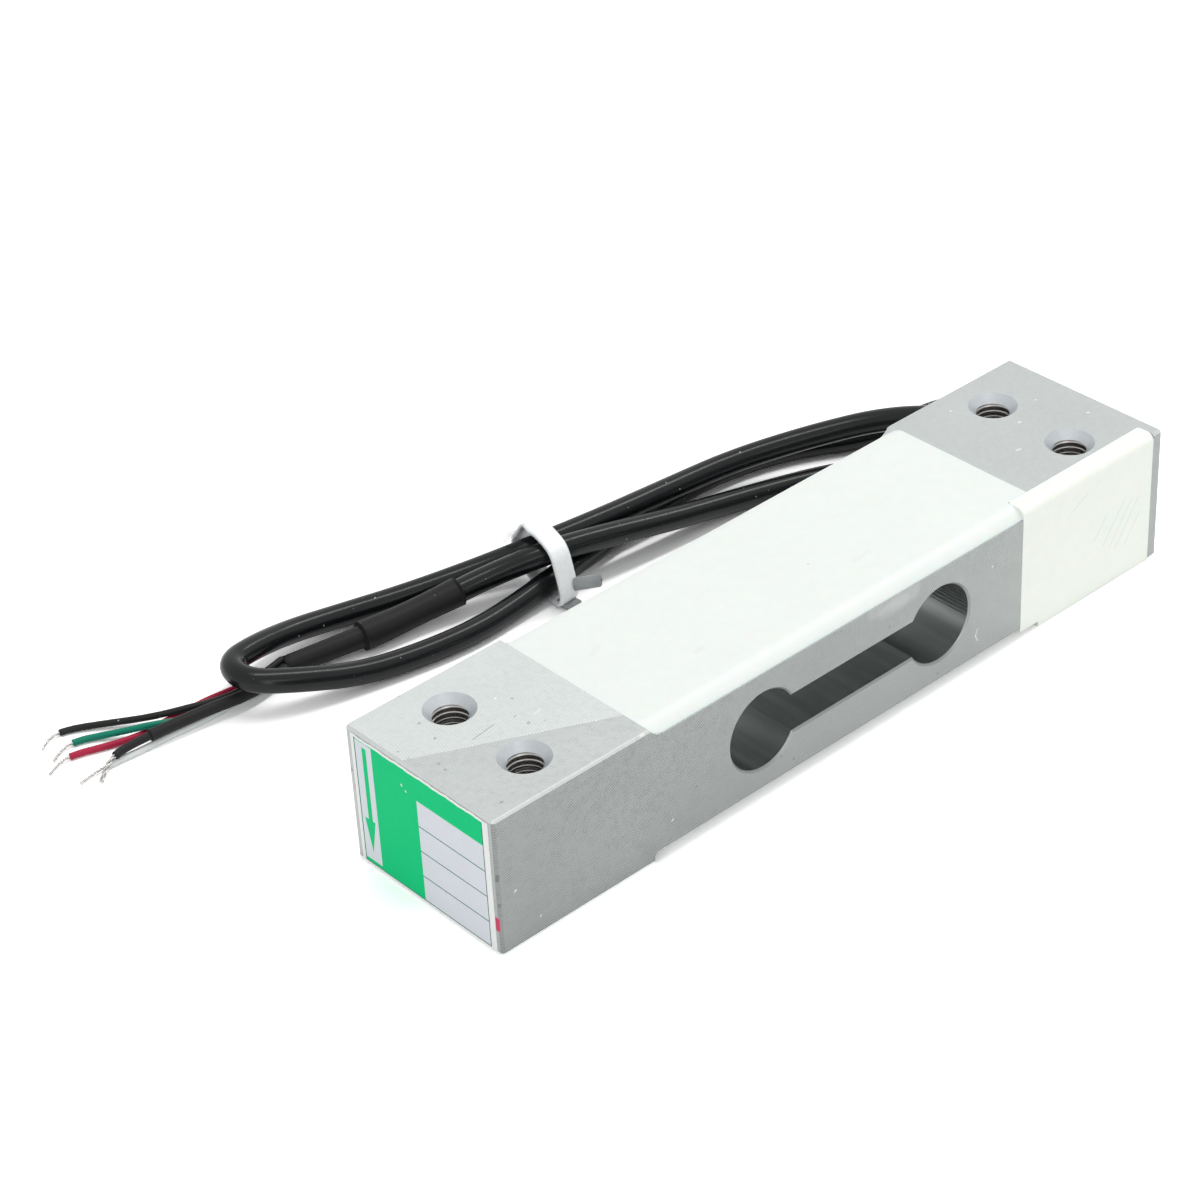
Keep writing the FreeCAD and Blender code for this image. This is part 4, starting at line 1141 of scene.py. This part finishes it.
def make_drain():
    """Drain wire in its two shrink sleeves, its twisted end bare."""
    line = lay_route(DRAIN_ROUTE)
    total = line_length(line)
    shield = tube("shield_tube", part_of(line, 0.0, SHIELD_END), SHIELD_RADIUS,
                  MATERIALS["sleeve"], 24, 0.15, 0.02, 11)
    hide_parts("shield_sleeve")
    step = tube("shield_tail", part_of(line, SHIELD_END - 0.0005, SHIELD_STEP_END),
                SHIELD_STEP_RADIUS, MATERIALS["sleeve"], 24, 0.15, 0.02, 12)
    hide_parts("shield_step")
    drain = strand_bundle("drain_strands", part_of(line, 0.0, total), 3, DRAIN_RADIUS,
                          0.14 * MM, 4.0 * MM, 0.2, MATERIALS["tinned"])
    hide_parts("drain_wire")


# -------- cable tie
def wrap_line(radius, steps=10):
    """Loop round the tie's rounds at a radius, in millimetres, eased at its corners."""
    count = len(TIE_WRAP)
    normals = []
    for i in range(count):
        ahead = Vector(TIE_WRAP[(i + 1) % count]) - Vector(TIE_WRAP[i])
        normals.append(Vector((ahead.y, -ahead.x)).normalized())
    points = []
    for i in range(count):
        start = math.atan2(normals[i - 1].y, normals[i - 1].x)
        end = math.atan2(normals[i].y, normals[i].x)
        while end < start:
            end += 2 * math.pi
        for k in range(steps + 1):
            angle = start + (end - start) * k / steps
            points.append(Vector(TIE_WRAP[i])
                          + Vector((math.cos(angle), math.sin(angle))) * radius)
    spaced = even_loop(points, TIE_STEPS)
    for _round in range(TIE_EASING):
        spaced = [(spaced[i - 1] + p * 2 + spaced[(i + 1) % TIE_STEPS]) / 4
                  for i, p in enumerate(spaced)]
    return [p + Vector((0.0, TIE_PEAK * peak_share(p))) for p in spaced]


def even_loop(points, count):
    """A closed loop's points, laid again at even steps."""
    loop = points + points[:1]
    total = line_length(loop)
    result = []
    run = 0.0
    wanted = 0.0
    for a, b in zip(loop, loop[1:]):
        step = (b - a).length
        while step > 0 and run <= wanted < run + step and len(result) < count:
            result.append(a.lerp(b, (wanted - run) / step))
            wanted += total / count
        run += step
    return result


def peak_share(point):
    """How far the strip stands off the bundle where its ends were pulled up."""
    if point.y < TIE_TOP:
        return 0.0
    return math.exp(-((point.x - TIE_PEAK_AT[0]) / TIE_PEAK_AT[1]) ** 2)


def strip(name, x0, x1, low, high, material, keep=None):
    """Length of the flat strip between two heights over the bundle."""
    ridge = [(0.0, low), (0.0, 0.75 * high), (0.12, 0.92 * high), (0.36, 0.88 * high),
             (0.5, high), (0.64, 0.88 * high), (0.88, 0.92 * high), (1.0, 0.75 * high),
             (1.0, low)]
    loops = []
    base = wrap_line(TIE_INNER)
    outward = []
    for k in range(len(base)):
        ahead = base[(k + 1) % len(base)] - base[k - 1]
        outward.append(Vector((ahead.y, -ahead.x)).normalized())
    kept = [k for k, p in enumerate(base) if keep is None or keep(p)]
    turn = next((k for k in range(1, len(kept)) if kept[k] > kept[k - 1] + 1), 0)
    kept = kept[turn:] + kept[:turn]
    for across, height in ridge:
        x = x0 + across * (x1 - x0)
        places = [base[k] + outward[k] * height for k in kept]
        loops.append([Vector((x + TIE_LEAN * (p.x - TIE_LEAN_FROM), *p)) * MM
                      for p in places])
    count = len(kept)
    vertices = [v for loop in loops for v in loop]
    faces = []
    for i in range(len(ridge)):
        following = (i + 1) % len(ridge)
        for k in range(count if keep is None else count - 1):
            m = (k + 1) % count
            faces.append((i * count + k, i * count + m, following * count + m,
                          following * count + k))
    if keep is not None:
        faces.append(tuple(i * count for i in range(len(ridge)))[::-1])
        faces.append(tuple(i * count + count - 1 for i in range(len(ridge))))
    return new_piece(name, vertices, faces, [material])


def make_tie():
    """Coated strip round the bundle: a flat band with the wire's ridge, and cut ends."""
    half = TIE_HALF_WIDTH
    tail = -half - TIE_TAIL
    front = min(centre[0] for centre in TIE_WRAP) - TIE_OUTER
    band = strip("tie_band", -half, half, 0.0, 0.66, MATERIALS["tie"])
    back = strip("tie_back", tail, -half + 0.2, 0.1, 0.5, MATERIALS["tie_tail"],
                 lambda p: p.x > TIE_PEAK_AT[0] and p.y > TIE_TOP)
    low = strip("tie_low", tail, -half + 0.2, 0.1, 0.5, MATERIALS["tie_end"],
                lambda p: 0.2 < p.x < 2.4 and p.y < 2.0)
    stub = slab("tie_stub", (0.15, front, 3.0), (4.5, front + 0.7, 5.2),
                MATERIALS["tie_end"], 0.2)
    wire = slab("tie_wire", (4.35, front + 0.2, 3.9), (4.6, front + 0.5, 4.3),
                MATERIALS["tie_wire"], 0.05)
    pivot = Matrix.Translation(Vector((0.15, front + 0.7, 0.0)) * MM)
    swing = pivot @ Matrix.Rotation(math.radians(-32), 4, "Z") @ pivot.inverted()
    stub.data.transform(swing)
    wire.data.transform(swing)
    foot = slab("tie_foot", (-half + 0.3, front - 0.3, 0.3), (half - 0.8, -3.9, 1.1),
                MATERIALS["tie_end"])
    mesh = merge("tie_strip", [band, back, low, stub, wire, foot])
    mesh.transform(tie_place())
    tie = link(bpy.data.objects.new("tie_strip", mesh))
    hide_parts("cable_tie")
    return tie


# -------- sealant under the block
# the wires are cut here, inside the block; what is below is thickened this much,
# and at a sharp corner by at most this many times as much
COAT_TOP = 1.65 * MM
COAT_OVER_WIRE = 0.12 * MM
MOST_AT_CORNER = 1.6


def make_wire_cover():
    """Sealant over the jumper wires under the block, which stands as thin ridges."""
    shape = bmesh.new()
    shape.from_mesh(bpy.data.objects["jumpers_bottom"].data)
    bmesh.ops.remove_doubles(shape, verts=shape.verts, dist=WELD_WIRE)
    bmesh.ops.bisect_plane(shape, geom=shape.verts[:] + shape.edges[:] + shape.faces[:],
                           plane_co=(0.0, 0.0, COAT_TOP), plane_no=(0.0, 0.0, 1.0),
                           clear_outer=True)
    bmesh.ops.holes_fill(shape, edges=[e for e in shape.edges if e.is_boundary])
    bmesh.ops.recalc_face_normals(shape, faces=shape.faces)
    pushed = [v.co + v.normal * min(v.calc_shell_factor(), MOST_AT_CORNER) * COAT_OVER_WIRE
              for v in shape.verts]
    for vertex, place in zip(shape.verts, pushed):
        vertex.co = place
    mesh = mesh_from(shape, "wire_cover", [MATERIALS["top_sealant"]])
    cover = link(bpy.data.objects.new("wire_cover", mesh))


# -------- nodes kept as they are
def finish_nodes():
    """Materials of the solids that keep their own shape."""
    finishes = {
        "top_seal": "top_sealant", "bottom_seal": "top_sealant",
        "pocket_seal": "pocket_sealant", "exit_seal": "pocket_sealant",
        "gauge_top_near": "foil", "gauge_top_far": "foil",
        "gauge_bottom_near": "foil", "gauge_bottom_far": "foil",
        "terminals_top": "resin", "terminals_bottom": "resin",
        "jumpers_top": "enamel", "jumpers_bottom": "enamel",
        "compensation_board": "board", "trim_resistors": "chip",
        "solder_posts": "solder", "core_tails": "core",
    }
    for node, finish in finishes.items():
        for slot in bpy.data.objects[node].material_slots:
            slot.material = MATERIALS[finish]


# -------- stage
FLOOR_HALF = 6
FLOOR_LEVEL = -0.02 * MM
# tone of the floor where light falls, in reflections and to the camera
FLOOR_TONES = (0.8, 1.3, 1.5)
# strength of the surrounding light, and of the white seen behind the part
AROUND, BEHIND = 0.68, 1.0
LAMPS_AIM = (0.0, 0.02, 0.0)


def seen_rays(tree):
    """The kinds of ray, and 1 for those that show a thing straight or in a mirror."""
    rays = tree.nodes.new("ShaderNodeLightPath").outputs
    seen = maths(tree, "ADD", rays["Is Camera Ray"], rays["Is Glossy Ray"])
    return rays, maths(tree, "ADD", seen, rays["Is Transmission Ray"], clamp=True)


def make_floor():
    """Pale floor that shows white to the camera and to reflections, and keeps shadows."""
    mesh = bpy.data.meshes.new("floor")
    corners = ((-1, -1), (1, -1), (1, 1), (-1, 1))
    mesh.from_pydata([(x * FLOOR_HALF, y * FLOOR_HALF, FLOOR_LEVEL) for x, y in corners],
                     [], [(0, 1, 2, 3)])
    floor = bpy.data.objects.new("floor", mesh)
    bpy.context.scene.collection.objects.link(floor)
    material, tree, shader, _place = start_material("floor_paper", 1.0, 0.0, 0.0)
    rays, seen = seen_rays(tree)
    lit, mirrored, shown = [grey(tone) for tone in FLOOR_TONES]
    paper = tint(tree, rays["Is Camera Ray"], tint(tree, seen, lit, mirrored), shown)
    tree.links.new(paper, shader.inputs["Base Color"])
    mesh.materials.append(material)


def make_world():
    """Even light all round, weaker than the white that shows behind the part."""
    world = bpy.data.worlds.new("studio")
    bpy.context.scene.world = world
    world.use_nodes = True
    tree = world.node_tree
    _rays, seen = seen_rays(tree)
    background = tree.nodes["Background"]
    background.inputs["Color"].default_value = WHITE
    strength = ramp(tree, seen, 0.0, 1.0, AROUND, BEHIND)
    tree.links.new(strength, background.inputs["Strength"])


def make_lamp(name, at, width, depth, power):
    """Oblong lamp, aimed at the part."""
    data = bpy.data.lights.new(name, "AREA")
    data.shape = "RECTANGLE"
    data.size = width
    data.size_y = depth
    data.energy = power
    lamp = bpy.data.objects.new(name, data)
    lamp.location = at
    aim = Vector(LAMPS_AIM) - Vector(at)
    lamp.rotation_euler = aim.to_track_quat("-Z", "Y").to_euler()
    bpy.context.scene.collection.objects.link(lamp)


def make_camera():
    """Camera at its fixed place."""
    data = bpy.data.cameras.new("camera")
    data.sensor_width = CAMERA_SENSOR
    data.lens = CAMERA_LENS
    data.clip_start = 0.01
    camera = bpy.data.objects.new("camera", data)
    up = CAMERA_RIGHT.cross(CAMERA_AHEAD)
    turn = Matrix((CAMERA_RIGHT, up, -CAMERA_AHEAD)).transposed().to_4x4()
    camera.matrix_world = Matrix.Translation(CAMERA_AT) @ turn
    bpy.context.scene.collection.objects.link(camera)
    bpy.context.scene.camera = camera


def main():
    """Builds the stage and the pieces."""
    bpy.context.scene.view_settings.view_transform = "Standard"
    make_camera()
    make_world()
    make_floor()
    make_lamp("strip_over", (0.42, 0.02, 1.0), 0.11, 1.3, 5.6)
    make_lamp("fill_front", (-0.35, -0.95, 0.40), 0.6, 0.6, 2.2)
    finish_nodes()
    make_block()
    make_threads()
    make_label()
    make_wire_cover()
    cable, jacket, outer, inner = make_cable()
    make_leads()
    make_drain()
    tie = make_tie()


main()
